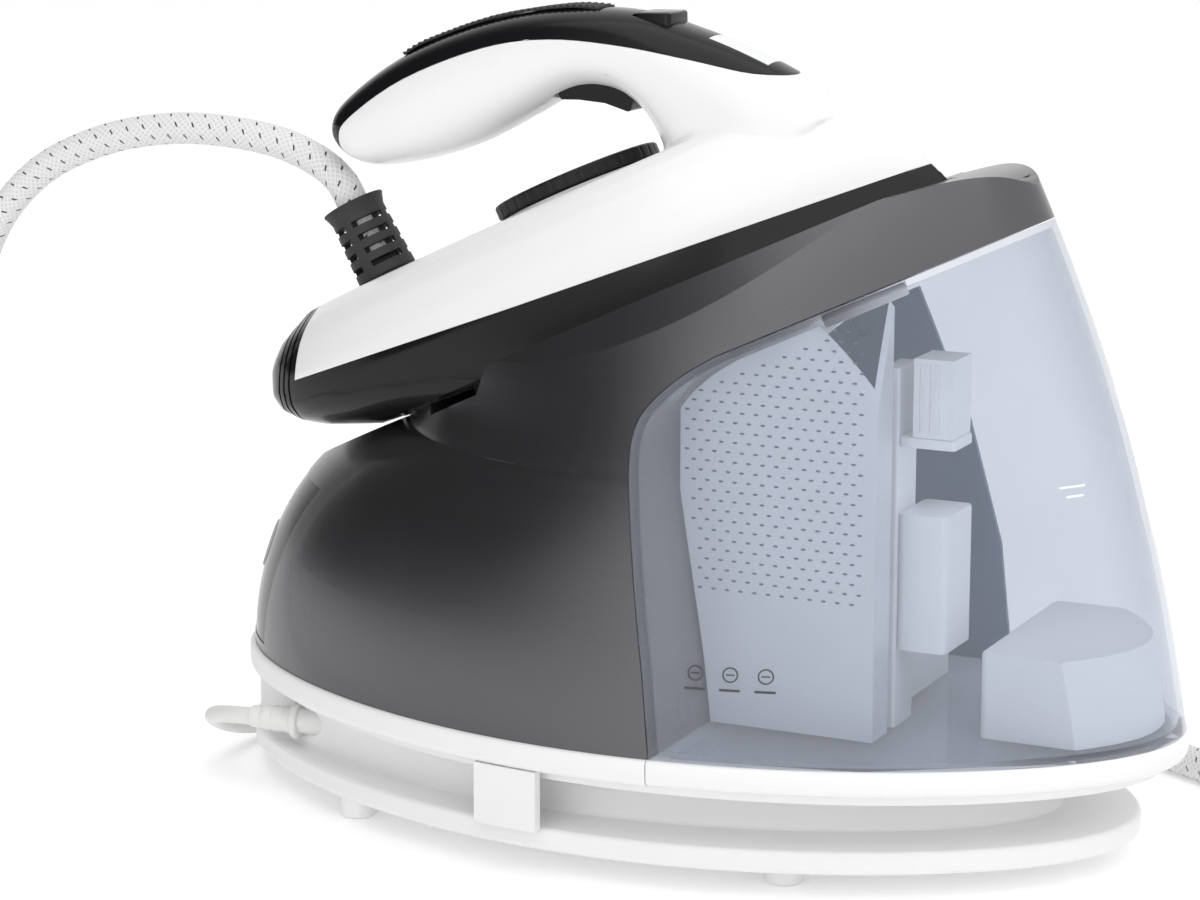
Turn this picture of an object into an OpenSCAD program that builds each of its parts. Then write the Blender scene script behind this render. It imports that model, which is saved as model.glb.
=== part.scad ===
// Steam generator iron: a removable water tank slides out of a boiler station, and the iron
// rests on the station's sloping top. Millimetres, +X towards the nose, +Z up, z = 0 at the feet.

/* [Station] */
// Half the length of the rim oval
rim_a = 183; // [170:1:200]
// Half the width of the rim oval
rim_b = 107; // [95:1:120]
// Height of the underside of the rim above the table
rim_z = 38.5; // [34:0.5:44]
// Height of the top edge of the rim above the table
shell_z = 48; // [46:0.5:52]
// Wall thickness of the moulded covers
wall = 2.5; // [2:0.1:3]
// Slope of the iron rest
rest_tilt = 25; // [22:1:27]
// Height of the feet
foot_h = 8.5; // [7:0.5:10]
// Thickness of the base plate
plate_t = 8.5; // [6:0.5:10]

/* [Iron] */
// Length of the soleplate from its rear end to the tip
sole_len = 227; // [215:1:232]
// Half the width of the soleplate
sole_b = 56; // [50:1:58]
// Radius of the temperature dial
dial_r = 31.5; // [28:0.5:34]

/* [Cords] */
// Diameter of the steam hose
hose_d = 12; // [11:0.5:13]
// Diameter of the mains lead
lead_d = 6.5; // [6:0.1:7]

/* [Hidden] */

$fn = 48;
fine = 64;
eps = 0.05;

// Colours
white = "white";
cream = "gainsboro";
black = "#1c1c1e";
charcoal = "#3a3a3e";
bluish = [0.72, 0.8, 0.9, 0.45];
steel = "silver";
rubber = "#2a2a2a";
braid = "#e4e4e2";

// Rear end of the sole plane, where the tilted frame of the iron starts
sole_x = -112;
sole_z = 137.5;
// The split between the fixed rim and the rim of the tank
split_x = 28;
// Gap between the tank and what it slides past
gap = 0.4;
// Rim of the iron rest above the sole plane, and the crease below it, along the tilted normal
rest_rim_w = 4;
crease_w = -4.5;
// Underside of the top frame over the tank, along the tilted normal
bay_w = -23.5;
// Floor of the pocket that the iron stands in
pocket_w = -4;

// ---------- outlines ----------

// Oval of half axes a and b round [cx, 0], a little leaner than an ellipse towards its ends
function oval(cx, a, b, n = 48) = [
    for (i = [0 : n - 1]) let (t = 360 * i / n)
        [cx + a * cos(t), b * sin(t) * (1 - 0.15 * cos(t) * cos(t))]
];

// Front end, rear end and half width of the station at height z
function nose_x(z) = let (h = z - 48) 182 - 0.152 * h - 0.0008 * h * h;
function tail_x(z) = let (s = min(1, (z - 48) / 92)) -112 - 69 * pow(max(0, 1 - s * s), 0.6);
function half_w(z) = let (h = z - 48) 105 - 0.05 * h - 0.00115 * h * h;

// Iron plan: a pointed nose at uf, a square-shouldered heel at ur, half width b
function iron_plan(uf, ur, b, n = 40) = [
    for (i = [0 : n - 1])
        let (t = 360 * (i + 0.5) / n, q = t < 180 ? t : 360 - t, p = 1.55 - q / 180)
        [(uf + ur) / 2 + (uf - ur) / 2 * cos(t),
         (t < 180 ? 1 : -1) * b * pow(sin(q), p) * (1 - 0.25 * cos(q))]
];

// ---------- solids from rings ----------

// Closed solid through rings of equal point counts, capped at both ends
module loft(rings) {
    n = len(rings[0]);
    m = len(rings);
    polyhedron(
        points = [for (r = rings) for (p = r) p],
        faces = concat(
            [[for (i = [0 : n - 1]) i]],
            [for (k = [0 : m - 2]) for (i = [0 : n - 1])
                [(k + 1) * n + (i + 1) % n, k * n + (i + 1) % n, k * n + i]],
            [for (k = [0 : m - 2]) for (i = [0 : n - 1])
                [(k + 1) * n + i, (k + 1) * n + (i + 1) % n, k * n + i]],
            [[for (i = [0 : n - 1]) m * n - 1 - i]]
        ),
        convexity = 6
    );
}

function lift_ring(points, z) = [for (p = points) [p[0], p[1], z]];

// Straight oval prism between two heights
module oval_prism(cx, a, b, z0, z1) {
    translate([0, 0, z0]) linear_extrude(z1 - z0) polygon(oval(cx, a, b, 72));
}

// The station's outer form, shrunk by inset on every side
station_steps = [0, 14, 28, 42, 54, 64, 72, 79, 84, 88, 91, 110, 135, 165, 214];
module station_form(inset, z0 = 48) {
    loft([
        for (h = station_steps)
            let (z = 48 + h, f = nose_x(z) - inset, r = tail_x(z) + inset)
            lift_ring(oval((f + r) / 2, (f - r) / 2, half_w(z) - inset), h == 0 ? z0 : z)
    ]);
}

// Everything of the iron and its rest stands in this tilted frame: u along X, w along Z
module tilted() {
    translate([sole_x, 0, sole_z]) rotate([0, -rest_tilt, 0]) children();
}

// Half space below the height w of the tilted frame
module below(w) {
    tilted() translate([-400, -300, w - 600]) cube([900, 600, 600]);
}

// Prism across the whole width from an outline in the X-Z plane
module across(outline, width = 300) {
    translate([0, width / 2, 0]) rotate([90, 0, 0]) linear_extrude(width) polygon(outline);
}

// Tapering skirt that gives the bevel round the iron rest
function rest_outline(grow) = [
    for (i = [0 : 47])
        let (t = 360 * i / 48, s = sin(t), c = cos(t), a = 127 + grow)
        [123 + a * c * (1 + 0.5 * max(0, -c)),
         (66 + grow) * sign(s) * pow(abs(s), 0.8) * (1 - 0.2 * c)]
];
module rest_bevel() {
    drop = rest_rim_w - crease_w;
    intersection() {
        tilted() loft([
            lift_ring(rest_outline(160), rest_rim_w - 160 * drop / 8),
            lift_ring(rest_outline(0), rest_rim_w)
        ]);
        tilted() across(lip_profile);
    }
}

// Rounded front lip of the rest, seen from the side in the tilted frame
lip_profile = [[-150, -300], [-150, 10], [200, 10], [218, 3.6], [230, 2], [239, 0.4], [246, -1.8],
               [251, -4.4], [254.4, -7.6], [256.8, -12], [260, -30], [300, -300]];

// Pocket that the iron stands in, shallow and open at the rear
module iron_pocket() {
    tilted() translate([0, 0, pocket_w]) linear_extrude(30)
        intersection() {
            polygon(iron_plan(sole_len + 4, -60, sole_b + 8));
            translate([32, -100]) square([260, 200]);
        }
    tilted() across([[-160, -0.4], [34, -0.4], [66, rest_rim_w + 0.1], [66, 60], [-160, 60]]);
}

// Bay of the tank, seen from the side, grown by g all round
bay_lean = [[split_x, 30], [split_x, 50], [25, 75], [21, 100], [17, 125], [14, 145]];
function bay_top(x) = sole_z + bay_w / cos(rest_tilt) + (x - sole_x) * tan(rest_tilt);
module bay_side(g) {
    offset(delta = g) polygon(concat(
        [[260, 30]],
        bay_lean,
        [[14.5, 157], [19, bay_top(19) - 7], [29, bay_top(29) - 2], [40, bay_top(40)]],
        [[260, bay_top(260)]]
    ));
}
module tank_bay(g) {
    translate([0, 150, 0]) rotate([90, 0, 0]) linear_extrude(300) bay_side(g);
}

// ---------- base ----------

pedestal_top = rim_z - 4;
plate_z = foot_h + plate_t;

module pedestal_oval(inset, z0, z1) {
    translate([0, 0, z0]) linear_extrude(z1 - z0)
        polygon(oval(-22, 160 - inset, 80 - inset, 72));
}

// Place of the lead gland and of the hose socket in the pedestal's wall
gland_at = [-135, -53, 27];
gland_turn = 8;
socket_at = [10, 77, 27];
socket_turn = 45;

module base_plate() {
    color(white) difference() {
        oval_prism(-7.5, 174.5, 100, foot_h, plate_z);
        for (p = screw_spots) translate([p[0], p[1], foot_h - 1]) cylinder(r = 1.6, h = plate_t + 2);
        for (p = screw_spots) translate([p[0], p[1], foot_h - 1]) cylinder(r = 3.6, h = 4);
    }
}

screw_spots = [[100, 30], [100, -30], [-20, 55], [-20, -55], [-140, 20], [-140, -20]];

module base_pedestal() {
    color(white) difference() {
        pedestal_oval(0, plate_z, pedestal_top);
        difference() {
            pedestal_oval(wall, plate_z + wall, pedestal_top + 1);
            for (p = screw_spots) translate([p[0], p[1], 0]) cylinder(r = 4.5, h = 60);
            at_gland() cylinder(r = 9, h = 40, center = true);
            at_socket() cylinder(r = 9.5, h = 36, center = true);
        }
        for (p = screw_spots) translate([p[0], p[1], plate_z - 1]) cylinder(r = 1.3, h = 14);
        at_gland() cylinder(r = 5, h = 60, center = true);
        at_socket() cylinder(r = 7.4, h = 60, center = true);
    }
}

// Frames of the lead gland and the hose socket, Z pointing out of the station
module at_gland() {
    translate(gland_at) rotate([0, -90, gland_turn]) children();
}
module at_socket() {
    translate(socket_at) rotate([0, 90, socket_turn]) children();
}

module base_struts() {
    color(white) for (side = [-1, 1])
        intersection() {
            difference() {
                oval_prism(0, rim_a - 0.5, rim_b - 0.5, plate_z, rim_z);
                oval_prism(0, rim_a - 4.5, rim_b - 4.5, plate_z - 1, rim_z + 1);
            }
            translate([-38, side > 0 ? 60 : -160, plate_z]) cube([25, 100, rim_z - plate_z]);
        }
}

module base_deck() {
    color(white) difference() {
        union() {
            oval_prism(0, rim_a - 8, rim_b - 8, pedestal_top, rim_z);
            intersection() {
                oval_prism(0, rim_a, rim_b, rim_z, shell_z);
                translate([-300, -200, rim_z]) cube([300 + split_x, 400, 20]);
            }
        }
        intersection() {
            oval_prism(0, rim_a - 7, rim_b - 7, rim_z, shell_z + 1);
            translate([-300, -200, rim_z]) cube([300 + split_x - 8, 400, 20]);
        }
        translate([steam_drop[0], steam_drop[1], 30]) cylinder(r = 4, h = 20);
        translate([tank_port[0], tank_port[1], 30]) cylinder(r = 8, h = 20);
    }
}

module feet() {
    color(white) for (p = [[64, 69], [64, -69], [-104, 69], [-104, -69]])
        translate([p[0], p[1], 0]) union() {
            cylinder(r1 = 6.4, r2 = 7, h = 1.5);
            translate([0, 0, 1.5]) cylinder(r = 7, h = foot_h - 1.5);
        }
}

module base_screws() {
    color(steel) for (p = screw_spots) translate([p[0], p[1], foot_h]) union() {
        difference() {
            translate([0, 0, 0.6]) cylinder(r = 3.3, h = 2.3);
            translate([-0.6, -2.4, 0]) cube([1.2, 4.8, 1.6]);
        }
        cylinder(r = 1.25, h = 20);
    }
}

// ---------- station shell ----------

module shell_outside() {
    intersection() {
        station_form(0);
        rest_bevel();
    }
}

module panel_window(g) {
    translate([-200, -panel_half - g, panel_z0 - g])
        cube([85, 2 * (panel_half + g), panel_z1 - panel_z0 + 2 * g]);
}
panel_half = 46;
panel_z0 = 52;
panel_z1 = 114;

module shell() {
    color(charcoal) difference() {
        union() {
            difference() {
                shell_outside();
                intersection() {
                    station_form(wall, 47);
                    below(pocket_w - 3);
                }
            }
            intersection() {
                station_form(0.8);
                below(pocket_w - 1);
                tank_bay(wall);
            }
        }
        tank_bay(0);
        iron_pocket();
        panel_window(0);
    }
}

module rest_plate() {
    color(black) tilted() translate([0, 0, pocket_w]) linear_extrude(2.2)
        polygon(iron_plan(sole_len - 4, 34, sole_b - 6));
}

module rest_pads() {
    pad_z = pocket_w + 2.2;
    color(rubber) tilted() for (p = [[56, 30], [56, -30], [124, 26], [124, -26], [186, 0]])
        translate([p[0], p[1], pad_z]) linear_extrude(-pad_z - 0.1) square([26, 12], center = true);
}

module control_panel() {
    color(black) difference() {
        intersection() {
            station_form(0.3);
            panel_window(-0.25);
        }
        station_form(3.2, 40);
        for (b = [power_at, select_at]) button_bore(b, button_r + 0.4);
        for (y = lamp_ys) translate([-200, y, lamp_z]) rotate([0, 90, 0]) cylinder(r = 1.9, h = 60);
    }
}

// The keys press straight forward into the panel
button_r = 9;
power_at = [-158, -18, 84];
select_at = [-158, 18, 84];
lamp_ys = [-24, -12, 0, 12, 24];
lamp_z = 104;

module button_bore(at, r) {
    translate([-200, at[1], at[2]]) rotate([0, 90, 0]) cylinder(r = r, h = 60);
}

module panel_key(at) {
    color(cream) intersection() {
        difference() {
            station_form(-0.4);
            station_form(6, 40);
        }
        button_bore(at, button_r);
    }
}
module power_button() { panel_key(power_at); }
module steam_button() { panel_key(select_at); }

module indicator_lights() {
    color("lightblue") intersection() {
        difference() {
            station_form(0);
            station_form(5, 40);
        }
        for (y = lamp_ys) translate([-200, y, lamp_z]) rotate([0, 90, 0]) cylinder(r = 1.8, h = 60);
    }
}

module control_board() {
    color("seagreen") translate([-146, -28, 56]) cube([1.6, 56, 42]);
    color(black) translate([-144.4, -24, 60]) cube([12, 20, 26]);
    color(steel) translate([-144.4, 4, 62]) cube([8, 20, 18]);
}

// ---------- steam works inside the station ----------

deck_top = rim_z;
boiler_at = [-66, 0];
boiler_r = 44;
boiler_z = 48;
boiler_h = 62;
steam_drop = [-4, -20];
tank_port = [70, 0];

module boiler() {
    color(steel) translate([boiler_at[0], boiler_at[1], boiler_z]) union() {
        cylinder(r = boiler_r, h = boiler_h, $fn = fine);
        translate([0, 0, boiler_h]) cylinder(r1 = boiler_r, r2 = 26, h = 8, $fn = fine);
        for (x = [-12, 12]) translate([x, -24, boiler_h + 4]) cylinder(r = 4, h = 10);
    }
}

module boiler_bracket() {
    color(steel) translate([boiler_at[0], boiler_at[1], deck_top]) difference() {
        union() {
            cylinder(r = boiler_r + 3, h = 22, $fn = fine);
            translate([-10, -boiler_r - 14, 0]) cube([20, 2 * boiler_r + 28, 2.5]);
        }
        translate([0, 0, boiler_z - deck_top]) cylinder(r = boiler_r + eps, h = 40, $fn = fine);
        translate([0, 0, 2.5]) cylinder(r = boiler_r - 6, h = 40, $fn = fine);
    }
}

valve_z = boiler_z + boiler_h + 8;
module steam_valve() {
    color(black) translate([boiler_at[0] - 13, -13, valve_z]) cube([26, 26, 22]);
    color(steel) translate([boiler_at[0] + 13, 0, valve_z + 11]) rotate([0, 90, 0])
        cylinder(r = 4, h = 8);
}

pump_at = [-46, 68, 62];
module pump() {
    color(black) translate(pump_at) union() {
        rotate([0, 90, 0]) cylinder(r = 15, h = 34);
        translate([34, 0, 0]) rotate([0, 90, 0]) cylinder(r = 8, h = 16);
        translate([-10, 0, 0]) rotate([0, 90, 0]) cylinder(r = 6, h = 10);
    }
}

module pump_mount() {
    color(rubber) for (dx = [4, 22]) translate([pump_at[0] + dx, pump_at[1], deck_top])
        difference() {
            translate([0, -17, 0]) cube([8, 34, pump_at[2] - deck_top]);
            translate([-1, 0, pump_at[2] - deck_top]) rotate([0, 90, 0])
                cylinder(r = 15 + eps, h = 10);
        }
}

module tank_socket() {
    color(cream) translate([tank_port[0], tank_port[1], 30]) difference() {
        union() {
            cylinder(r = 7.9, h = 8.4);
            cylinder(r = 11, h = 4.4);
        }
        translate([0, 0, -1]) cylinder(r = 4, h = 20);
    }
}

// ---------- tubes ----------

function unit(v) = v / norm(v);
// Closed tube of diameter d along the points of a path, with n sides
module tube(path, d, n = 10) {
    m = len(path);
    loft([
        for (k = [0 : m - 1])
            let (a = path[max(0, k - 1)], b = path[min(m - 1, k + 1)], t = unit(b - a),
                 h = abs(t[2]) > 0.95 ? [0, 1, 0] : [0, 0, 1],
                 s = unit(cross(h, t)), v = cross(t, s))
            [for (i = [0 : n - 1])
                path[k] + d / 2 * (cos(360 * i / n) * s + sin(360 * i / n) * v)]
    ]);
}
// Smooth path through hand-set points, with steps between each pair
function spline(p, steps) = concat([
    for (k = [0 : len(p) - 2]) for (j = [0 : steps - 1])
        let (a = p[max(0, k - 1)], b = p[k], c = p[k + 1], e = p[min(len(p) - 1, k + 2)], t = j / steps)
        b + 0.5 * t * ((c - a) + t * ((2 * a - 5 * b + 4 * c - e) + t * (3 * (b - c) + e - a)))
], [p[len(p) - 1]]);

pump_tube_path = [
    [4, 68, 62], [6, 68, 62], [8, 68, 62], [13, 64, 63],
    [14, 54, 67], [4, 43, 72], [-14, 35, 75], [-31.8, 28.8, 75]
];
module pump_tube() {
    color(cream) tube(spline(pump_tube_path, 4), 5, 8);
}

steam_tube_path = [
    [-45, 0, 129], [-34, -2, 127.5], [-20, -8, 119], [-10, -15, 104], [-5, -19, 84], [-4, -20, 60],
    [-4, -20, 40], [-3, -14, 30], [-1, 2, 27], [-1, 30, 27], [-2, 52, 27], [-1, 64, 27],
    [3.6, 70.6, 27]
];
module steam_tube() {
    color(cream) tube(spline(steam_tube_path, 4), 6, 8);
}

module hose_socket() {
    color(black) at_socket() difference() {
        union() {
            translate([0, 0, -10]) cylinder(r = 7.3, h = 18);
            translate([0, 0, 8]) cylinder(r1 = 7.4, r2 = 7, h = 24);
        }
        translate([0, 0, 8]) cylinder(r = hose_d / 2 + 0.1, h = 40);
        translate([0, 0, -11]) cylinder(r = 3.05, h = 22);
    }
}

module lead_gland() {
    color(cream) at_gland() difference() {
        union() {
            translate([0, 0, -12]) cylinder(r = 4.9, h = 14);
            translate([0, 0, 2]) cylinder(r1 = 4.9, r2 = 3.9, h = 20);
        }
        translate([0, 0, -13]) cylinder(r = lead_d / 2 + 0.05, h = 60);
    }
}

// ---------- water tank ----------

module tank_base() {
    color(white) difference() {
        intersection() {
            oval_prism(0, rim_a, rim_b, rim_z + gap, shell_z);
            translate([split_x + gap, -200, 0]) cube([300, 400, 100]);
        }
        intersection() {
            oval_prism(0, rim_a - 6, rim_b - 6, rim_z + 3.5, shell_z + 1);
            translate([split_x + gap + 6, -200, 0]) cube([300, 400, 100]);
        }
        translate([tank_port[0], tank_port[1], rim_z - 1]) cylinder(r = 12, h = 20);
    }
}

module tank_shell() {
    color(bluish) difference() {
        intersection() {
            station_form(0);
            tank_bay(-gap);
            translate([0, -200, shell_z]) cube([300, 400, 300]);
        }
        intersection() {
            station_form(2.4, 44);
            tank_bay(-gap - 2.4);
            translate([0, -200, shell_z + 2.4]) cube([300, 400, 300]);
        }
        translate([tank_port[0], tank_port[1], shell_z - 1]) cylinder(r = 9, h = 6);
        translate([filler_at[0], 0, filler_at[1]]) rotate([0, -rest_tilt, 0])
            cylinder(r = 16, h = 12, center = true);
    }
}

filler_at = [62, bay_top(62)];
module filler_cap() {
    color(white) translate([filler_at[0], 0, filler_at[1]]) rotate([0, -rest_tilt, 0])
        translate([0, 0, -5.5]) cylinder(r = 15.8, h = 4.8);
}

module tank_valve() {
    color(white) translate([tank_port[0], tank_port[1], rim_z + gap]) union() {
        difference() {
            cylinder(r = 11.8, h = 9);
            translate([0, 0, -1]) cylinder(r = 8, h = 3);
        }
        translate([0, 0, 2]) cylinder(r = 8.8, h = 16);
    }
}

module tank_seal() {
    color(rubber) translate([tank_port[0], tank_port[1], rim_z + gap + 1.55]) rotate_extrude()
        translate([5.6, 0]) circle(r = 0.45, $fn = 24);
}

tank_floor = shell_z + 2.5;
module baffle_plate() {
    color(cream) intersection() {
        station_form(7, 44);
        tank_bay(-4);
        translate([20, -90, tank_floor]) cube([90, 160, 160]);
        union() {
            translate([20, -60, 40]) cube([72, 2, 200]);
            translate([90, -60, 40]) cube([2, 14, 200]);
            translate([0, 60, 0]) rotate([90, 0, 0]) linear_extrude(2) polygon(liner_side);
            translate([28, -59, 101]) cube([6, 118, 2]);
        }
    }
}

// Far side of the liner, leaning back towards the station
liner_side = [[22, 50.5], [100, 50.5], [95, 95], [82, 140], [60, 190], [22, 190]];

module filter_cartridge() {
    color(white) translate([97, -40, 153.2]) union() {
        cube([14, 18, 27]);
        for (i = [0 : 2]) translate([-0.8, 2.4 + i * 5.4, 2]) cube([15.6, 2.4, 23]);
    }
}

// Column and shelf that carry the cartridge over its outlet chamber
module cartridge_holder() {
    color(cream) translate([85, -40, tank_floor]) union() {
        cube([7, 18, 126]);
        translate([0, 0, 99]) cube([27, 18, 3.6]);
        translate([7, 0, 28]) cube([18, 26, 48]);
    }
}

module float_housing() {
    color(white) intersection() {
        station_form(7, 44);
        translate([122, -38, tank_floor]) cube([60, 80, 30]);
    }
}

module intake_housing() {
    color(white) translate([31.5, -52, tank_floor]) difference() {
        cube([52.5, 90, 49]);
        translate([3, 3, -1]) cube([46.5, 84, 47]);
    }
}

// ---------- iron ----------

// Rear end and half width of the iron's body at height w over the sole
heel_curve = [[0, -4], [4, -16], [8, -28], [11, -34], [14, -39], [20, -45], [26, -47],
              [36, -44], [43, -37], [46, -31], [50, -24]];
side_curve = [[0, 56], [20, 56], [30, 53.5], [40, 48], [46, 42], [50, 35]];
function iron_front(w) = sole_len + 1 - 0.35 * w - 0.0062 * w * w;

module iron_form(inset, heights) {
    loft([
        for (w = heights)
            lift_ring(iron_plan(iron_front(w) - 2 * inset, lookup(w, heel_curve) + inset,
                                lookup(w, side_curve) - inset), w)
    ]);
}
body_steps = [2, 6, 10, 14, 20, 26, 32, 38, 43, 46, 48.5, 50];

// Handle: lower and upper edge of each section in the u-w plane, and its half width
handle_sections = [
    [[13, 99], [11, 107], 7], [[17, 94], [13, 112], 12], [[25, 89], [21, 117], 16],
    [[44, 84], [42, 121.5], 19], [[66, 81.5], [64, 122.5], 20], [[90, 82.5], [92, 119.5], 19.5],
    [[112, 84], [118, 112.5], 19], [[126, 78], [143, 101], 19], [[133, 68], [162, 86], 19.5],
    [[135, 57], [178, 71], 20], [[134, 46], [192, 55], 20.5], [[130, 34], [202, 38], 20.5]
];
function section_ring(s, inset, n) =
    let (mid = (s[0] + s[1]) / 2, half = s[1] - s[0], h = norm(half) / 2 - inset,
         d = unit(half), r = s[2] - inset)
    [for (i = [0 : n - 1])
        let (t = -360 * i / n, c = cos(t), k = sin(t),
             a = h * sign(c) * pow(abs(c), 0.85), b = r * sign(k) * pow(abs(k), 0.85))
        [mid[0] + d[0] * a, b, mid[1] + d[1] * a]];
module handle_form(inset) {
    first = inset > 0 ? 1 : 0;
    loft([for (k = [first : len(handle_sections) - 1]) section_ring(handle_sections[k], inset, 28)]);
}

// Line between the white shell and the black cap of the handle, then far round above it
cap_line = [[20, 84], [15, 96], [17, 104], [25, 109], [54, 113], [89, 110.5], [115, 103],
            [140, 90], [162, 75.5], [181, 62], [200, 52]];
module cap_region(g) {
    translate([0, 150, 0]) rotate([90, 0, 0]) linear_extrude(300) offset(delta = g)
        polygon(concat(cap_line, [[240, 60], [240, 180], [-40, 180], [-40, 84]]));
}

// Height of the lower edge of the white shell above the sole, from the heel to the nose
module skirt_region(g) {
    translate([0, 150, 0]) rotate([90, 0, 0]) linear_extrude(300)
        polygon([[-60, 30.4 - g], [80, 19.5 - g], [260, 7.5 - g], [260, -50], [-60, -50]]);
}

// Upright plane between the white shell and the heel cap
module heel_region(g) {
    rotate([0, rest_tilt, 0]) translate([-331 - g, -150, -200]) cube([300, 300, 400]);
}

module soleplate() {
    color(steel) tilted() difference() {
        loft([
            lift_ring(iron_plan(sole_len - 9.4, 2, sole_b - 6.2), 0),
            lift_ring(iron_plan(sole_len - 8, 1, sole_b - 5), 1.2),
            lift_ring(iron_plan(sole_len - 8, 1, sole_b - 5), 4)
        ]);
        for (p = steam_holes) translate([p[0], p[1], -1]) cylinder(r = 1.6, h = 6);
    }
}
steam_holes = concat(
    [for (s = [-1, 1]) for (k = [0 : 5]) [208 - 22 * k, s * (7 + 6.2 * k)]],
    [[216, 0], [186, 0], [160, 0]]
);

module steam_chamber() {
    color("darkgray") tilted() translate([0, 0, 4]) linear_extrude(12)
        polygon(iron_plan(sole_len - 28, 16, sole_b - 16));
}

module heat_shield() {
    color(black) tilted() difference() {
        iron_form(0, [0.8, 4, 10, 14, 20, 26, 32, 38]);
        iron_form(3, [-0.4, 4, 10, 14, 20, 26, 32, 39]);
        difference() {
            translate([-100, -100, -1]) cube([400, 200, 60]);
            skirt_region(0.2);
        }
        heel_region(-0.2);
    }
}

module heel_cap() {
    color(black) tilted() difference() {
        intersection() {
            iron_form(0, [8, 10, 14, 20, 26, 32, 38, 43, 46]);
            heel_region(0.1);
        }
        iron_form(4, [7, 10, 14, 20, 26, 32, 38, 42]);
        iron_pocket_local();
    }
}
module iron_pocket_local() {
    translate([-60, -80, -2]) cube([60, 160, 10]);
}

boss_w = 51.3;
module iron_shell() {
    color(white) tilted() difference() {
        union() {
            iron_form(0, body_steps);
            handle_form(0);
            translate([dial_at, 0, 44]) cylinder(r1 = 37.5, r2 = dial_r - 1, h = boss_w - 44);
        }
        iron_form(wall, [1, 6, 10, 14, 20, 26, 32, 38, 43, 46, 47.5]);
        handle_form(wall);
        cap_region(0.15);
        skirt_region(0);
        heel_region(0);
        translate([dial_at, 0, 30]) cylinder(r = 3.05, h = 40);
        translate([boot_u, 0, 40]) cylinder(r = 9.2, h = 20);
        translate([103, -9, 66]) cube([32, 18, 24]);
    }
}

module handle_cap() {
    color(black) tilted() difference() {
        handle_form(0);
        handle_form(wall);
        difference() {
            translate([-60, -100, 0]) cube([320, 200, 200]);
            cap_region(-0.15);
        }
        lens_region(0.15);
        lock_region(0.4);
    }
}

// Window on the front slope of the cap
module lens_region(g) {
    translate([176, 0, 72]) rotate([0, 42, 0]) linear_extrude(16, center = true)
        offset(delta = g) square([24, 13], center = true);
}
module signal_lens() {
    color("whitesmoke") tilted() intersection() {
        difference() {
            handle_form(-0.4);
            handle_form(wall - 0.3);
        }
        lens_region(0);
    }
}

// Sliding lock on top of the handle
module lock_region(g) {
    translate([151, 0, 96]) rotate([0, 24, 0]) linear_extrude(20, center = true)
        offset(delta = g) square([14, 17], center = true);
}
module lock_button() {
    color(black) tilted() translate([151, 0, 96]) rotate([0, 24, 0])
        translate([0, 0, -7]) linear_extrude(8) offset(r = 2) square([10, 13], center = true);
}

// Ribbed pad on top of the handle
module handle_grip() {
    color(rubber) tilted() across(concat(
        grip_line,
        [for (i = [1 : len(grip_line)]) grip_line[len(grip_line) - i] + [0.3, 1.1]]
    ), 13);
}
grip_line = [[52, 122.1], [64, 122.65], [92, 119.65], [118, 112.65], [132, 106.2]];

dial_at = 95;
module temperature_dial() {
    color(black) tilted() translate([dial_at, 0, 0]) union() {
        difference() {
            translate([0, 0, boss_w + 0.3]) cylinder(r = dial_r, h = 5.2, $fn = fine);
            for (i = [0 : 35]) rotate([0, 0, 10 * i]) translate([dial_r + 0.4, 0, boss_w])
                cylinder(r = 0.9, h = 8, $fn = 16);
        }
        translate([0, 0, 40]) cylinder(r = 3, h = boss_w - 39);
    }
}

module thermostat() {
    color(cream) tilted() translate([dial_at, 0, 16]) difference() {
        union() {
            cylinder(r = 14, h = 8);
            cylinder(r = 7, h = 26);
        }
        translate([0, 0, 22]) cylinder(r = 3.05, h = 10);
    }
}

// Finger lever under the front of the handle, turning on a cross pin
trigger_pivot = [131, 84];
module steam_trigger() {
    color(black) tilted() difference() {
        translate([0, 8, 0]) rotate([90, 0, 0]) linear_extrude(16) offset(r = 1.5) offset(r = -1.5)
            polygon([[105, 83], [112, 80], [121, 75], [129, 68], [133, 74], [135, 86], [128, 89], [106, 88]]);
        translate([trigger_pivot[0], -20, trigger_pivot[1]]) rotate([-90, 0, 0])
            cylinder(r = 1.55, h = 40);
    }
}

module trigger_pin() {
    color(steel) tilted() translate([trigger_pivot[0], -17, trigger_pivot[1]]) rotate([-90, 0, 0])
        cylinder(r = 1.5, h = 34);
}

module trigger_switch() {
    color(black) tilted() translate([106, -5, 96]) cube([14, 10, 6]);
}

// Boot that carries the steam hose off the back of the iron
boot_u = 7;
boot_lean = -5;
module hose_boot() {
    color(black) tilted() translate([boot_u, 0, 47]) rotate([0, boot_lean, 0]) difference() {
        union() {
            cylinder(r = 8.6, h = 6);
            translate([0, 0, 4.9]) cylinder(r1 = 11.5, r2 = 10.5, h = 24.6);
            translate([0, 0, 29.5]) cylinder(r1 = 10.5, r2 = 12, h = 5);
        }
        translate([0, 0, 12]) cylinder(r = hose_d / 2 + 0.05, h = 40);
        translate([0, 0, -1]) cylinder(r = 3.5, h = 20);
        for (k = [0 : 3]) for (i = [0 : 3]) rotate([0, 0, 45 + 90 * i])
            translate([9, -5, 8 + 5.6 * k]) cube([6, 10, 2.6]);
    }
}

module iron_pipe() {
    color(cream) tilted() translate([boot_u, 0, 17]) cylinder(r = 3, h = 30);
}

// ---------- steam hose and mains lead ----------

// Top of the hose boot, and the split where the hose first hangs straight down
hose_start = [-142.5, 0, 213];
hose_upper_path = [
    hose_start, [-148, 0, 221.5], [-158, 0, 228.5], [-175, 0, 234.5], [-199, 0, 237.5],
    [-224, 0, 237], [-252, 0, 231.5], [-280, 0, 219.5], [-301, 0, 201], [-315, 1, 177],
    [-321.8, 2, 150.9]
];
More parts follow.
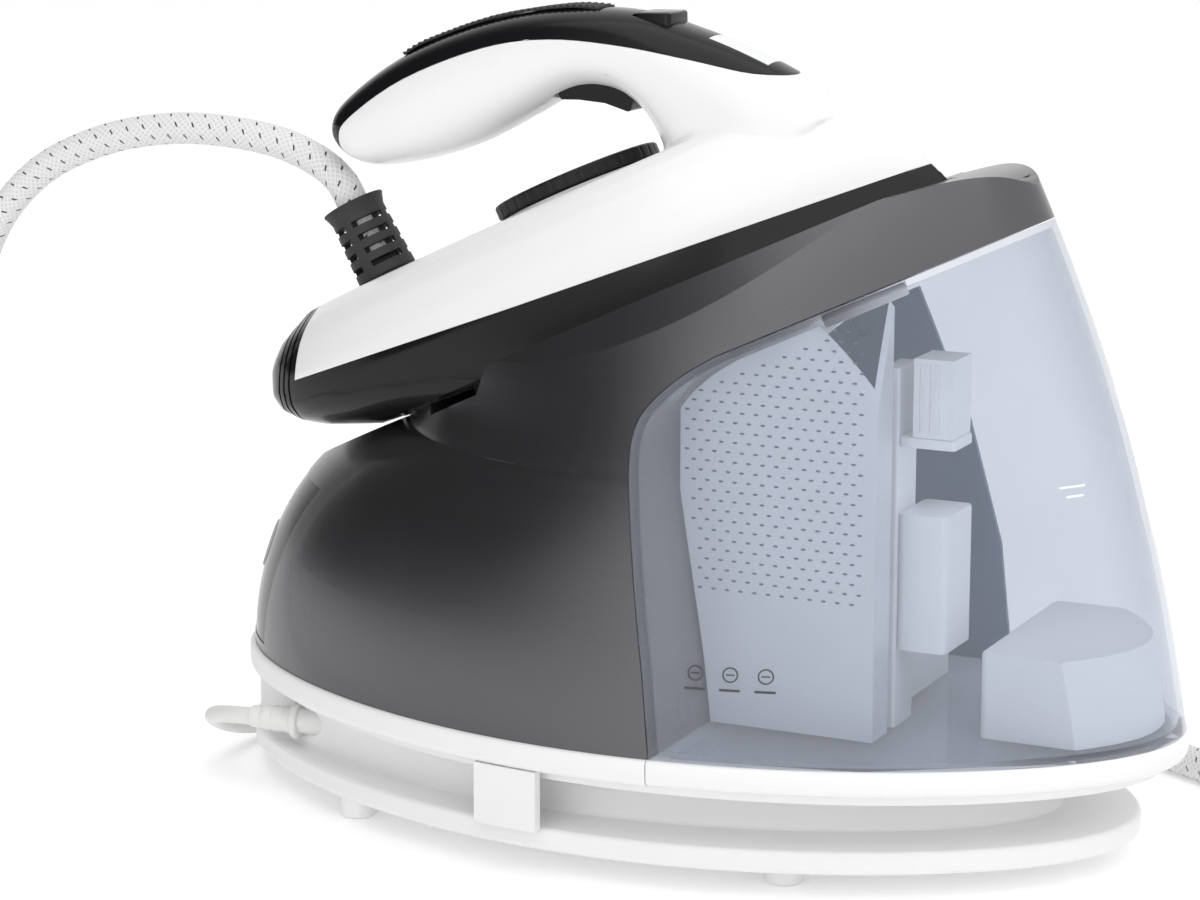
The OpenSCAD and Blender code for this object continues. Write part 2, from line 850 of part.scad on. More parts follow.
// Round the front of the station along the table, then into the socket on its far side
hose_lower_path = [
    [-322.1, 2, 149.5], [-327, 0, 118], [-330, -5, 88], [-331, -16, 60], [-329, -36, 34],
    [-320, -64, 15], [-304, -97, 7], [-280, -134, 6], [-248, -172, 6], [-212, -206, 6],
    [-176, -231, 6], [-138, -241, 6], [-96, -230, 6], [-46, -206, 6], [12, -178, 6],
    [70, -152, 6], [128, -127, 6], [180, -98, 6], [214, -56, 6], [221, -6, 6], [209, 46, 6],
    [184, 86, 6], [148, 112, 6], [106, 124, 7.5], [72, 122, 15], [48, 112, 23.5],
    [32.5, 99.5, 27], [25, 92, 27]
];
module hose_upper() {
    color(braid) tube(spline(hose_upper_path, 2), hose_d);
}
module hose_lower() {
    color(braid) tube(spline(hose_lower_path, 2), hose_d);
}

lead_path = [
    [-144.9, -54.4, 27], [-156.8, -56.1, 26.9], [-167.5, -55, 26], [-176.5, -50, 23.5],
    [-183, -41.5, 19.5], [-186.5, -31, 14.5], [-187.5, -19, 9.8], [-187, -6, 6.2],
    [-186.5, 8, 4.2], [-187, 26, 3.4], [-188.5, 48, 3.4], [-190, 66, 3.4], [-190, 78, 3.4]
];
module mains_lead() {
    color(cream) tube(spline(lead_path, 2), lead_d, 8);
}

// Spare lead wound behind the station, with the plug beside it
lead_coil_at = [-158, 100];
coil_r = 32.5;
coil_w = 13;
coil_h = 26;
module lead_coil() {
    color(cream) translate([lead_coil_at[0], lead_coil_at[1], 0]) rotate_extrude($fn = fine)
        translate([coil_r - coil_w / 2, 0]) square([coil_w, coil_h]);
}
module lead_tie() {
    color(black) translate([lead_coil_at[0], lead_coil_at[1] + coil_r, 0]) difference() {
        translate([-4, -coil_w / 2 - 2, 0]) cube([8, coil_w + 4, coil_h + 1.5]);
        translate([-5, -coil_w / 2 - 0.7, -1]) cube([10, coil_w + 1.4, coil_h + 1.1]);
    }
}

plug_at = [-126.5, 122, 18];
module mains_plug() {
    color(cream) translate(plug_at) rotate([0, 90, 0]) difference() {
        union() {
            cylinder(r1 = 4.2, r2 = 7.5, h = 24);
            translate([0, 0, 24]) cylinder(r1 = 10, r2 = 17, h = 12);
            translate([0, 0, 36]) cylinder(r = 18, h = 20);
        }
        for (y = [-9.5, 9.5]) translate([0, y, 46]) cylinder(r = 2.4, h = 20);
    }
}
module plug_pins() {
    color(steel) translate(plug_at) rotate([0, 90, 0]) for (y = [-9.5, 9.5])
        translate([0, y, 46]) cylinder(r = 2.4, h = 28);
}

base_plate();
base_pedestal();
base_deck();
base_struts();
feet();
base_screws();
shell();
rest_plate();
rest_pads();
control_panel();
power_button();
steam_button();
indicator_lights();
control_board();
boiler();
boiler_bracket();
steam_valve();
pump();
pump_mount();
pump_tube();
steam_tube();
tank_socket();
hose_socket();
lead_gland();
tank_base();
tank_shell();
tank_seal();
tank_valve();
filler_cap();
baffle_plate();
filter_cartridge();
cartridge_holder();
float_housing();
intake_housing();
soleplate();
steam_chamber();
heat_shield();
iron_shell();
handle_cap();
handle_grip();
heel_cap();
signal_lens();
thermostat();
temperature_dial();
steam_trigger();
trigger_pin();
trigger_switch();
lock_button();
hose_boot();
iron_pipe();
hose_upper();
hose_lower();
mains_lead();
lead_coil();
lead_tie();
mains_plug();
plug_pins();
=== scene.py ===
import math

import bpy
from mathutils import Matrix, Vector


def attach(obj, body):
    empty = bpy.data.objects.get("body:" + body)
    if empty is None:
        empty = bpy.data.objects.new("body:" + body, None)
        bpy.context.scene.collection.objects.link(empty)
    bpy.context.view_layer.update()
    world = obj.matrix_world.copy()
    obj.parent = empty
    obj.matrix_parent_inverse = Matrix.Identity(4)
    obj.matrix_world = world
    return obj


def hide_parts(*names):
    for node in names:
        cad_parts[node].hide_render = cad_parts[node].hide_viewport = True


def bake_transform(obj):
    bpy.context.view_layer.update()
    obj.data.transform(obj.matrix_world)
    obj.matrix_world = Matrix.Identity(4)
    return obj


# Steam generator iron. Shapes are worked out in millimetres with the outlines of the CAD source,
# only finer, and scaled to metres last. The iron is built in its own tilted frame: u along the
# soleplate, w along its normal.
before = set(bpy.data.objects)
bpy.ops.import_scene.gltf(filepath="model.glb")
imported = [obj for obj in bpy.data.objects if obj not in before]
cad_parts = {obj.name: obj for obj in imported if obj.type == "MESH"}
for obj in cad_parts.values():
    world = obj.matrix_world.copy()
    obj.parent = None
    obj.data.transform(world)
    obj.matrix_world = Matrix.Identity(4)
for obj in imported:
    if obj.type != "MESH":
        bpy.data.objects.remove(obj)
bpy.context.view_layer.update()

MM = 0.001
TILT = math.radians(25)
# Origin of the tilted frame: the rear end of the soleplate on its rest
SOLE_X, SOLE_Z = -112.0, 137.5
PLACE = Matrix.Translation((SOLE_X, 0, SOLE_Z)) @ Matrix.Rotation(-TILT, 4, "Y")
SPLIT_X = 28.0
FORM_Z = 48.0
TANK_FLOOR = 50.5
KEY_Z, KEY_Y = 84, 18
LAMP_Z = 104
LAMPS = (-24, -12, 0, 12, 24)
scene = bpy.context.scene


# ---------- camera and light ----------

def aim(obj, target):
    obj.rotation_euler = (Vector(target) - obj.location).to_track_quat("-Z", "Y").to_euler()


def make_camera():
    data = bpy.data.cameras.new("camera")
    data.lens = 102.86
    data.sensor_width = 36.0
    data.clip_start = 0.05
    camera = bpy.data.objects.new("camera", data)
    camera.location = (0.49855, -1.10398, 0.38949)
    aim(camera, (-0.016, -0.049, 0.140))
    scene.collection.objects.link(camera)
    scene.camera = camera


def softbox(name, at, target, width, height, radiance):
    """Soft rectangular lamp of a given brightness, left out of the camera's own view."""
    data = bpy.data.lights.new(name, "AREA")
    data.shape = "RECTANGLE"
    data.size, data.size_y = width, height
    data.energy = radiance * math.pi * width * height
    lamp = bpy.data.objects.new(name, data)
    lamp.location = at
    aim(lamp, target)
    lamp.visible_camera = False
    scene.collection.objects.link(lamp)


def studio():
    """White surroundings, dark in one patch at the left, and two soft lamps."""
    world = bpy.data.worlds.new("studio")
    scene.world = world
    world.use_nodes = True
    tree = world.node_tree
    back = tree.nodes["Background"]
    where = tree.nodes.new("ShaderNodeTexCoord")
    dot = tree.nodes.new("ShaderNodeVectorMath")
    dot.operation = "DOT_PRODUCT"
    dot.inputs[1].default_value = Vector((-0.90, -0.28, 0.30)).normalized()
    fall = tree.nodes.new("ShaderNodeMapRange")
    fall.interpolation_type = "SMOOTHSTEP"
    fall.inputs["From Min"].default_value = 0.55
    fall.inputs["From Max"].default_value = 0.90
    fall.inputs["To Min"].default_value = 0.98
    fall.inputs["To Max"].default_value = 0.02
    tree.links.new(where.outputs["Generated"], dot.inputs[0])
    tree.links.new(dot.outputs["Value"], fall.inputs["Value"])
    tree.links.new(fall.outputs["Result"], back.inputs["Strength"])
    back.inputs["Color"].default_value = (1.0, 1.0, 1.0, 1.0)
    softbox("top_lamp", (0.25, -0.35, 1.7), (0, 0, 0.1), 2.2, 2.2, 0.72)
    softbox("front_lamp", (0.22, -1.25, 0.42), (0.02, 0, 0.15), 0.9, 0.8, 0.8)
    scene.view_settings.view_transform = "Standard"
    scene.view_settings.look = "None"


# ---------- materials ----------

class Nodes:
    """A material's node tree, with short ways to add to it."""

    def __init__(self, name):
        self.material = bpy.data.materials.new(name)
        self.material.use_nodes = True
        self.tree = self.material.node_tree
        self.shader = self.tree.nodes["Principled BSDF"]
        self.output = self.tree.nodes["Material Output"]

    def add(self, kind, **inputs):
        node = self.tree.nodes.new(kind)
        for key, value in inputs.items():
            self.put(node.inputs[key.replace("_", " ")], value)
        return node

    def put(self, socket, value):
        if isinstance(value, bpy.types.NodeSocket):
            self.tree.links.new(value, socket)
        else:
            socket.default_value = value

    def surface(self, **inputs):
        """Sets the shader's sockets, each named with _ for a space, and gives back the material."""
        for key, value in inputs.items():
            self.put(self.shader.inputs[key.replace("_", " ")], value)
        return self.material

    def math(self, operation, a, b=0.0):
        node = self.tree.nodes.new("ShaderNodeMath")
        node.operation = operation
        self.put(node.inputs[0], a)
        self.put(node.inputs[1], b)
        return node.outputs[0]

    def ramp(self, value, low, high, to_low, to_high):
        node = self.add("ShaderNodeMapRange", Value=value)
        for key, number in (("From Min", low), ("From Max", high), ("To Min", to_low), ("To Max", to_high)):
            self.put(node.inputs[key], number)
        return node.outputs[0]

    def noise(self, size, detail=2.0, stretch=(1, 1, 1)):
        """Noise whose features are about size metres across."""
        where = self.tree.nodes.new("ShaderNodeTexCoord").outputs["Object"]
        if stretch != (1, 1, 1):
            mapping = self.add("ShaderNodeMapping", Vector=where, Scale=stretch)
            where = mapping.outputs[0]
        node = self.add("ShaderNodeTexNoise", Vector=where, Scale=1.0 / size, Detail=detail)
        return node.outputs["Fac"]

    def mix(self, factor, a, b):
        node = self.tree.nodes.new("ShaderNodeMix")
        node.data_type = "RGBA"
        for socket, value in ((node.inputs[0], factor), (node.inputs[6], a), (node.inputs[7], b)):
            self.put(socket, value)
        return node.outputs[2]

    def bump(self, height, distance, strength=1.0, under=None):
        node = self.add("ShaderNodeBump", Height=height, Strength=strength, Distance=distance)
        if under is not None:
            self.put(node.inputs["Normal"], under)
        return node.outputs[0]


def shade(colour, k):
    return tuple(min(1.0, c * k) for c in colour[:3]) + (1.0,)


def plastic(name, colour, rough, grain=0.0004, depth=0.000006, mottle=0.03, metallic=0.0, coat=0.0,
            specular=0.5):
    """Moulded plastic: fine grain, faint flow marks in the colour, and hand-worn patches of gloss."""
    n = Nodes(name)
    flow = n.noise(0.045, 3.0)
    wear = n.noise(0.012, 4.0)
    fine = n.noise(grain, 2.0)
    colours = n.mix(flow, shade(colour, 1 - mottle), shade(colour, 1 + mottle))
    return n.surface(Base_Color=colours, Normal=n.bump(fine, depth), Metallic=metallic, Coat_Weight=coat,
                     Roughness=n.ramp(wear, 0.3, 0.7, max(0.02, rough - 0.015), rough + 0.02),
                     Coat_Roughness=0.04, Specular_IOR_Level=specular)


def flake_paint(name, colour, rough):
    """Charcoal with fine metallic flakes under a clear gloss."""
    n = Nodes(name)
    where = n.tree.nodes.new("ShaderNodeTexCoord").outputs["Object"]
    cells = n.add("ShaderNodeTexVoronoi", Vector=where, Scale=6500.0)
    flow = n.noise(0.08, 1.0)
    base = n.mix(flow, shade(colour, 0.98), shade(colour, 1.02))
    flakes = n.ramp(cells.outputs["Distance"], 0.0, 0.6, 0.12, 0.0)
    gloss = n.ramp(n.noise(0.03, 1.0), 0.3, 0.7, rough - 0.01, rough + 0.015)
    return n.surface(Base_Color=n.mix(flakes, base, shade(colour, 1.8)), Roughness=gloss, Metallic=0.85,
                     Coat_Weight=0.1, Coat_Roughness=0.05)


def brushed(name, colour, rough, stretch):
    """Metal with fine drawn lines."""
    n = Nodes(name)
    lines = n.noise(0.0009, 3.0, stretch)
    return n.surface(Base_Color=n.mix(n.noise(0.02, 2.0), shade(colour, 0.93), shade(colour, 1.03)),
                     Roughness=n.ramp(lines, 0.3, 0.7, rough - 0.06, rough + 0.08),
                     Normal=n.bump(lines, 0.000012), Metallic=1.0)


def clear_plastic(name, tint, haze_colour, haze, rim=0.55):
    """Clear tinted moulding: mostly see-through, with a little haze and a gloss surface."""
    n = Nodes(name)
    veil = n.noise(0.05, 2.0)
    through = n.add("ShaderNodeBsdfTransparent", Color=n.mix(veil, shade(tint, 0.985), shade(tint, 1.015)))
    n.surface(Base_Color=n.mix(veil, shade(haze_colour, 0.97), shade(haze_colour, 1.03)),
              Roughness=n.ramp(n.noise(0.01, 3.0), 0.3, 0.7, 0.06, 0.12),
              Normal=n.bump(n.noise(0.006, 2.0), 0.00002))
    edge = n.add("ShaderNodeLayerWeight", Blend=0.35)
    body = n.ramp(edge.outputs["Facing"], 0.35, 1.0, haze, rim)
    blend = n.add("ShaderNodeMixShader")
    n.put(blend.inputs[0], body)
    n.tree.links.new(through.outputs[0], blend.inputs[1])
    n.tree.links.new(n.shader.outputs[0], blend.inputs[2])
    n.tree.links.new(blend.outputs[0], n.output.inputs["Surface"])
    return n.material


def braid(name):
    """Woven hose sleeve: crossing yarns, with rows of short dark flecks along it."""
    n = Nodes(name)
    uv = n.tree.nodes.new("ShaderNodeUVMap").outputs[0]
    split = n.add("ShaderNodeSeparateXYZ", Vector=uv)
    along, around = split.outputs[0], split.outputs[1]
    turn = 2 * math.pi
    twist = n.math("MULTIPLY", around, 16.0 * turn)
    run = n.math("MULTIPLY", along, turn / 0.0026)
    left = n.math("SINE", n.math("ADD", run, twist))
    right = n.math("SINE", n.math("SUBTRACT", run, twist))
    weave = n.math("MAXIMUM", left, right)
    rows = n.math("MULTIPLY", around, 8.0)
    parity = n.math("MULTIPLY", n.math("MODULO", n.math("FLOOR", rows), 2.0), 0.5)
    step = n.math("FRACT", n.math("ADD", n.math("DIVIDE", along, 0.0074), parity))
    beside = n.math("SUBTRACT", n.math("FRACT", rows), 0.5)
    lean = n.math("SUBTRACT", step, n.math("ADD", n.math("MULTIPLY", beside, 0.35), 0.5))
    long_mark = n.math("LESS_THAN", n.math("ABSOLUTE", lean), 0.05)
    wide_mark = n.math("LESS_THAN", n.math("ABSOLUTE", beside), 0.2)
    fleck = n.math("MULTIPLY", long_mark, wide_mark)
    white = n.mix(n.ramp(weave, -0.4, 1.0, 0.0, 1.0), (0.66, 0.66, 0.655, 1.0), (0.80, 0.80, 0.795, 1.0))
    white = n.mix(n.ramp(n.noise(0.02, 2.0), 0.3, 0.7, 0.0, 0.12), white, (0.66, 0.66, 0.67, 1.0))
    return n.surface(Base_Color=n.mix(fleck, white, (0.03, 0.03, 0.035, 1.0)),
                     Roughness=n.ramp(weave, -1.0, 1.0, 0.92, 0.72), Sheen_Weight=0.15,
                     Normal=n.bump(weave, 0.00012, 0.7, n.bump(n.noise(0.0003, 2.0), 0.00003)))


def printed(name):
    """Board lacquer with paler copper tracks."""
    n = Nodes(name)
    where = n.tree.nodes.new("ShaderNodeTexCoord").outputs["Object"]
    cells = n.add("ShaderNodeTexVoronoi", Vector=where, Scale=260.0)
    cells.distance = "MANHATTAN"
    track = n.ramp(cells.outputs["Distance"], 0.42, 0.5, 0.0, 1.0)
    return n.surface(Base_Color=n.mix(track, (0.02, 0.16, 0.07, 1), (0.10, 0.34, 0.16, 1)),
                     Normal=n.bump(track, 0.00003), Roughness=0.35)


def materials():
    m = {}
    m["white"] = plastic("white_gloss", (0.84, 0.84, 0.845), 0.24, depth=0.000004, mottle=0.012, coat=0.2)
    m["base"] = plastic("white_satin", (0.86, 0.86, 0.863), 0.40, depth=0.000012, mottle=0.015)
    m["charcoal"] = flake_paint("charcoal_metallic", (0.118, 0.117, 0.125), 0.26)
    m["gloss_black"] = plastic("gloss_black", (0.008, 0.008, 0.009), 0.16, depth=0.000002, mottle=0.1,
                               coat=0.05, specular=0.22)
    m["black"] = plastic("satin_black", (0.009, 0.009, 0.010), 0.38, depth=0.000016, mottle=0.1, specular=0.22)
    m["rubber"] = plastic("soft_black", (0.022, 0.022, 0.023), 0.62, grain=0.0006, depth=0.00003, mottle=0.12)
    m["grey"] = plastic("satin_grey", (0.42, 0.42, 0.44), 0.35, depth=0.00001)
    m["lamp"] = plastic("lamp_lens", (0.62, 0.70, 0.78), 0.12, coat=0.5)
    m["lens"] = plastic("window_white", (0.80, 0.81, 0.82), 0.10, coat=0.8, mottle=0.02)
    m["cord"] = plastic("pale_sheath", (0.76, 0.76, 0.75), 0.44, grain=0.0005, depth=0.00002, mottle=0.04)
    m["silicone"] = plastic("silicone_tube", (0.66, 0.66, 0.62), 0.4, depth=0.00001)
    m["inner"] = plastic("inner_white", (0.87, 0.88, 0.90), 0.45, depth=0.000012, mottle=0.02)
    m["dots"] = plastic("dimple_blue", (0.10, 0.13, 0.20), 0.4, depth=0.00001, mottle=0.05)
    m["board"] = printed("green_board")
    m["steel"] = brushed("brushed_steel", (0.62, 0.62, 0.63), 0.30, (1, 12, 12))
    m["sole"] = brushed("polished_sole", (0.66, 0.66, 0.67), 0.20, (1, 14, 14))
    m["cast"] = plastic("cast_aluminium", (0.45, 0.45, 0.46), 0.5, grain=0.001, depth=0.00005, metallic=1.0)
    m["tank"] = clear_plastic("tank_clear_blue", (0.885, 0.90, 0.93), (0.74, 0.765, 0.81), 0.10, 0.6)
    m["panel_blue"] = clear_plastic("baffle_clear", (0.86, 0.885, 0.93), (0.84, 0.86, 0.90), 0.80, 0.85)
    # The far liner is the baffle sheet again, coloured much darker than the pale baffle: painted shade for the
    # tank's far side.
    m["painted_shade_liner"] = clear_plastic("liner_painted_shade", (0.24, 0.36, 0.54), (0.09, 0.16, 0.27), 0.72, 0.8)
    m["braid"] = braid("woven_sleeve")
    m["ink"] = plastic("dark_print", (0.05, 0.05, 0.055), 0.5, mottle=0.1)
    m["white_ink"] = plastic("white_print", (0.88, 0.89, 0.90), 0.5, mottle=0.01)
    m["floor"] = plastic("studio_floor", (0.93, 0.93, 0.93), 0.75, grain=0.002, depth=0.00002, mottle=0.006,
                         specular=0.2)
    glow = m["floor"].node_tree.nodes["Principled BSDF"].inputs
    glow["Emission Color"].default_value = (1.0, 1.0, 1.0, 1.0)
    glow["Emission Strength"].default_value = 0.22
    return m


# ---------- meshes ----------

def make(name, verts, faces):
    mesh = bpy.data.meshes.new(name)
    mesh.from_pydata([tuple(v) for v in verts], [], faces)
    obj = bpy.data.objects.new(name, mesh)
    scene.collection.objects.link(obj)
    return obj


def volume(mesh):
    total = 0.0
    mesh.calc_loop_triangles()
    for t in mesh.loop_triangles:
        a, b, c = (mesh.vertices[i].co for i in t.vertices)
        total += a.dot(b.cross(c))
    return total


def loft(name, rings):
    """Closed solid through rings of equal point counts."""
    n = len(rings[0])
    faces = [list(range(n))]
    for k in range(len(rings) - 1):
        for i in range(n):
            j = (i + 1) % n
            faces.append((k * n + j, k * n + i, (k + 1) * n + i, (k + 1) * n + j))
    faces.append([len(rings) * n - 1 - i for i in range(n)])
    obj = make(name, [p for ring in rings for p in ring], faces)
    if volume(obj.data) < 0:
        obj.data.flip_normals()
    return obj


def prism(name, outline, low, high, axis="z"):
    """Straight prism from an outline: (x, y) lifted along z, or (x, z) across y, or (y, z) along x."""
    spots = {"z": lambda a, b, t: (a, b, t), "y": lambda a, b, t: (a, t, b), "x": lambda a, b, t: (t, a, b)}
    return loft(name, [[spots[axis](a, b, t) for a, b in outline] for t in (low, high)])


def block(name, lo, hi):
    return prism(name, [(lo[0], lo[1]), (hi[0], lo[1]), (hi[0], hi[1]), (lo[0], hi[1])], lo[2], hi[2])


def circle(r, n, cx=0.0, cy=0.0):
    return [(cx + r * math.cos(2 * math.pi * i / n), cy + r * math.sin(2 * math.pi * i / n)) for i in range(n)]


def lathe(name, profile, n=64, wave=None):
    """Solid of revolution about z from (radius, z) pairs; wave changes the radius with the angle."""
    rings = []
    for r, z in profile:
        ring = []
        for i in range(n):
            a = 2 * math.pi * i / n
            q = r * (wave(a) if wave else 1.0)
            ring.append((q * math.cos(a), q * math.sin(a), z))
        rings.append(ring)
    return loft(name, rings)


def baked(obj):
    bpy.context.view_layer.update()
    seen = obj.evaluated_get(bpy.context.evaluated_depsgraph_get())
    mesh = bpy.data.meshes.new_from_object(seen)
    obj.modifiers.clear()
    obj.data = mesh
    return obj


def combine(obj, *steps):
    """Boolean steps, in order: pairs of an operation and a cutter, which is used up."""
    for operation, other in steps:
        step = obj.modifiers.new(operation, "BOOLEAN")
        step.operation = operation
        step.object = other
        step.solver = "MANIFOLD"
    baked(obj)
    for _, other in steps:
        bpy.data.objects.remove(other)
    return obj


def bore(r, low, high, n, x=0.0, y=0.0):
    """Round cutter about a line parallel to z, from z low to z high."""
    return move(lathe("bore", [(r, low), (r, high)], n), Matrix.Translation((x, y, 0)))


def soft_box(name, lo, hi, r, rows):
    """Box with rounded upright corners; each row is a height and how far its ring is drawn in."""
    corners = ((hi[0] - r, hi[1] - r, 0), (lo[0] + r, hi[1] - r, 90),
               (lo[0] + r, lo[1] + r, 180), (hi[0] - r, lo[1] + r, 270))
    rings = []
    for z, inset in rows:
        ring = []
        for cx, cy, start in corners:
            for k in range(6):
                a = math.radians(start + 18 * k)
                ring.append((cx + (r - inset) * math.cos(a), cy + (r - inset) * math.sin(a), z))
        rings.append(ring)
    return loft(name, rings)


def cut(*tools):
    return [("DIFFERENCE", tool) for tool in tools]


def within(*tools):
    return [("INTERSECT", tool) for tool in tools]


def copy_of(obj, name):
    twin = bpy.data.objects.new(name, obj.data.copy())
    scene.collection.objects.link(twin)
    return twin


def move(obj, matrix):
    obj.data.transform(matrix)
    return obj


def join(name, objs):
    """One object from several that don't touch."""
    verts, faces = [], []
    for obj in objs:
        start = len(verts)
        verts += [v.co.copy() for v in obj.data.vertices]
        faces += [[start + i for i in p.vertices] for p in obj.data.polygons]
        bpy.data.objects.remove(obj)
    return make(name, verts, faces)


def piece(obj, name, body, material, slot, *nodes, crease=32):
    """Scales to metres, shades, and hands the piece to its body in place of its CAD nodes."""
    obj.name = name
    obj.data.name = name
    obj.data.transform(Matrix.Scale(MM, 4))
    obj.data.materials.clear()
    obj.data.materials.append(MATERIALS[material])
    obj.data.shade_smooth()
    obj.data.set_sharp_from_angle(angle=math.radians(crease))
    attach(obj, body)
    if nodes:
        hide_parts(*nodes)
    return obj


def grow(outline, g):
    """Outline moved outward by g, for one that runs either way round."""
    area = sum(a[0] * b[1] - b[0] * a[1] for a, b in zip(outline, outline[1:] + outline[:1]))
    side = 1 if area > 0 else -1
    out = []
    for k, p in enumerate(outline):
        a, b = outline[k - 1], outline[(k + 1) % len(outline)]
        d1 = Vector((p[0] - a[0], p[1] - a[1])).normalized()
        d2 = Vector((b[0] - p[0], b[1] - p[1])).normalized()
        n1, n2 = Vector((d1.y, -d1.x)) * side, Vector((d2.y, -d2.x)) * side
        mid = (n1 + n2) / max(0.2, 1 + n1.dot(n2))
        out.append((p[0] + mid.x * g, p[1] + mid.y * g))
    return out


def spline(points, steps):
    """Catmull-Rom curve through the points."""
    pts = [Vector(p) for p in points]
    out = []
    for k in range(len(pts) - 1):
        a, b, c, e = pts[max(0, k - 1)], pts[k], pts[k + 1], pts[min(len(pts) - 1, k + 2)]
        for j in range(steps):
            t = j / steps
            out.append(b + 0.5 * t * ((c - a) + t * ((2 * a - 5 * b + 4 * c - e) + t * (3 * (b - c) + e - a))))
    out.append(pts[-1])
    return out


def tube(name, path, radius, n=24):
    """Closed tube in metres along a path, with UVs of metres along it and turns round it."""
    frames, side = [], None
    for k, p in enumerate(path):
        t = (path[min(k + 1, len(path) - 1)] - path[max(k - 1, 0)]).normalized()
        side = t.orthogonal().normalized() if side is None else (side - t * side.dot(t)).normalized()
        frames.append((p, side, t.cross(side)))
    lengths = [0.0]
    for a, b in zip(path, path[1:]):
        lengths.append(lengths[-1] + (b - a).length)
    verts = [p + radius * (math.cos(2 * math.pi * i / n) * s + math.sin(2 * math.pi * i / n) * u)
             for p, s, u in frames for i in range(n)]
    faces, marks = [list(range(n))], [[(0.0, i / n) for i in range(n)]]
    for k in range(len(path) - 1):
        for i in range(n):
            j = (i + 1) % n
            faces.append((k * n + i, (k + 1) * n + i, (k + 1) * n + j, k * n + j))
            marks.append([(lengths[k], i / n), (lengths[k + 1], i / n),
                          (lengths[k + 1], (i + 1) / n), (lengths[k], (i + 1) / n)])
    faces.append([len(path) * n - 1 - i for i in range(n)])
    marks.append([(lengths[-1], (n - 1 - i) / n) for i in range(n)])
    obj = make(name, verts, faces)
    layer = obj.data.uv_layers.new(name="along")
    for value, spot in zip((uv for mark in marks for uv in mark), layer.data):
        spot.uv = value
    if volume(obj.data) < 0:
        obj.data.flip_normals()
    obj.data.shade_smooth()
    return obj


# ---------- outlines shared with the CAD source ----------

def oval(cx, a, b, n=200):
    out = []
    for i in range(n):
        t = 2 * math.pi * i / n
        out.append((cx + a * math.cos(t), b * math.sin(t) * (1 - 0.15 * math.cos(t) ** 2)))
    return out


def nose_x(z):
    h = z - FORM_Z
    return 182 - 0.152 * h - 0.0008 * h * h


def tail_x(z):
    s = min(1.0, (z - FORM_Z) / 92)
    return -112 - 69 * max(0.0, 1 - s * s) ** 0.6


def half_w(z):
    h = z - FORM_Z
    return 105 - 0.05 * h - 0.00115 * h * h


def form_ring(z, inset):
    f, r = nose_x(z) - inset, tail_x(z) + inset
    return (f + r) / 2, (f - r) / 2, half_w(z) - inset


def side_y(x, z, inset):
    """Half width of the station at x and height z."""
    cx, a, b = form_ring(z, inset)
    c = (x - cx) / a
    return b * math.sqrt(max(0.0, 1 - c * c)) * (1 - 0.15 * c * c) if abs(c) < 1 else 0.0


def eased(points, z, inset):
    """Ring with the fold beside the rear shoulder spread over 36 mm of height, away from the rear end."""
    if not 112 < z < 168:
        return points
    out = []
    for x, y in points:
        f = min(1.0, max(0.0, (x + 108) / 40)) * min(1.0, max(0.0, (28 - abs(z - 140)) / 10))
        mean = sum((4 - abs(k)) * side_y(x, z + 6 * k, inset) for k in range(-3, 4)) / 16
        out.append((x, y + (math.copysign(mean, y) - y) * f))
    return out


def station_form(inset, z0=48):
    heights = [48 + 92 * math.sin(math.radians(90 * k / 30)) for k in range(31)]
    heights += list(range(144, 176, 4)) + list(range(178, 263, 6))
    rings = []
    for z in heights:
        cx, a, b = form_ring(z, inset)
        rings.append([(x, y, z0 if z == 48 else z) for x, y in eased(oval(cx, a, b), z, inset)])
    return loft("form", rings)


def on_station(x, z, lift=0.0):
    """Point of the station's near side at x and z, lifted off it by lift."""
    cx, a, b = form_ring(z, -lift)
    t = -math.acos(max(-1.0, min(1.0, (x - cx) / a)))
    return Vector((x, b * math.sin(t) * (1 - 0.15 * math.cos(t) ** 2), z))


def lookup(w, table):
    for (w0, v0), (w1, v1) in zip(table, table[1:]):
        if w <= w1:
            return v0 + (v1 - v0) * (w - w0) / (w1 - w0)
    return table[-1][1]


def iron_plan(uf, ur, b, n=180):
    out = []
    for i in range(n):
        t = 360 * (i + 0.5) / n
        q = t if t < 180 else 360 - t
        s = math.sin(math.radians(q)) ** (1.55 - q / 180)
        out.append(((uf + ur) / 2 + (uf - ur) / 2 * math.cos(math.radians(t)),
                    (1 if t < 180 else -1) * b * s * (1 - 0.25 * math.cos(math.radians(q)))))
    return out


HEEL = [(0, -4), (4, -16), (8, -28), (11, -34), (14, -39), (20, -45), (26, -47),
        (36, -44), (43, -37), (46, -31), (50, -24)]
SIDE = [(0, 56), (20, 56), (30, 53.5), (40, 48), (46, 42), (50, 35)]


def iron_form(inset, heights):
    rings = []
    for w in heights:
        front = 228 - 0.35 * w - 0.0062 * w * w - 2 * inset
        rings.append([(u, v, w) for u, v in iron_plan(front, lookup(w, HEEL) + inset, lookup(w, SIDE) - inset)])
    return loft("iron_form", rings)


HANDLE = [((13, 99), (11, 107), 7), ((17, 94), (13, 112), 12), ((25, 89), (21, 117), 16),
          ((44, 84), (42, 121.5), 19), ((66, 81.5), (64, 122.5), 20), ((90, 82.5), (92, 119.5), 19.5),
          ((112, 84), (118, 112.5), 19), ((126, 78), (143, 101), 19), ((133, 68), (162, 86), 19.5),
          ((135, 57), (178, 71), 20), ((134, 46), (192, 55), 20.5), ((130, 34), (202, 38), 20.5)]


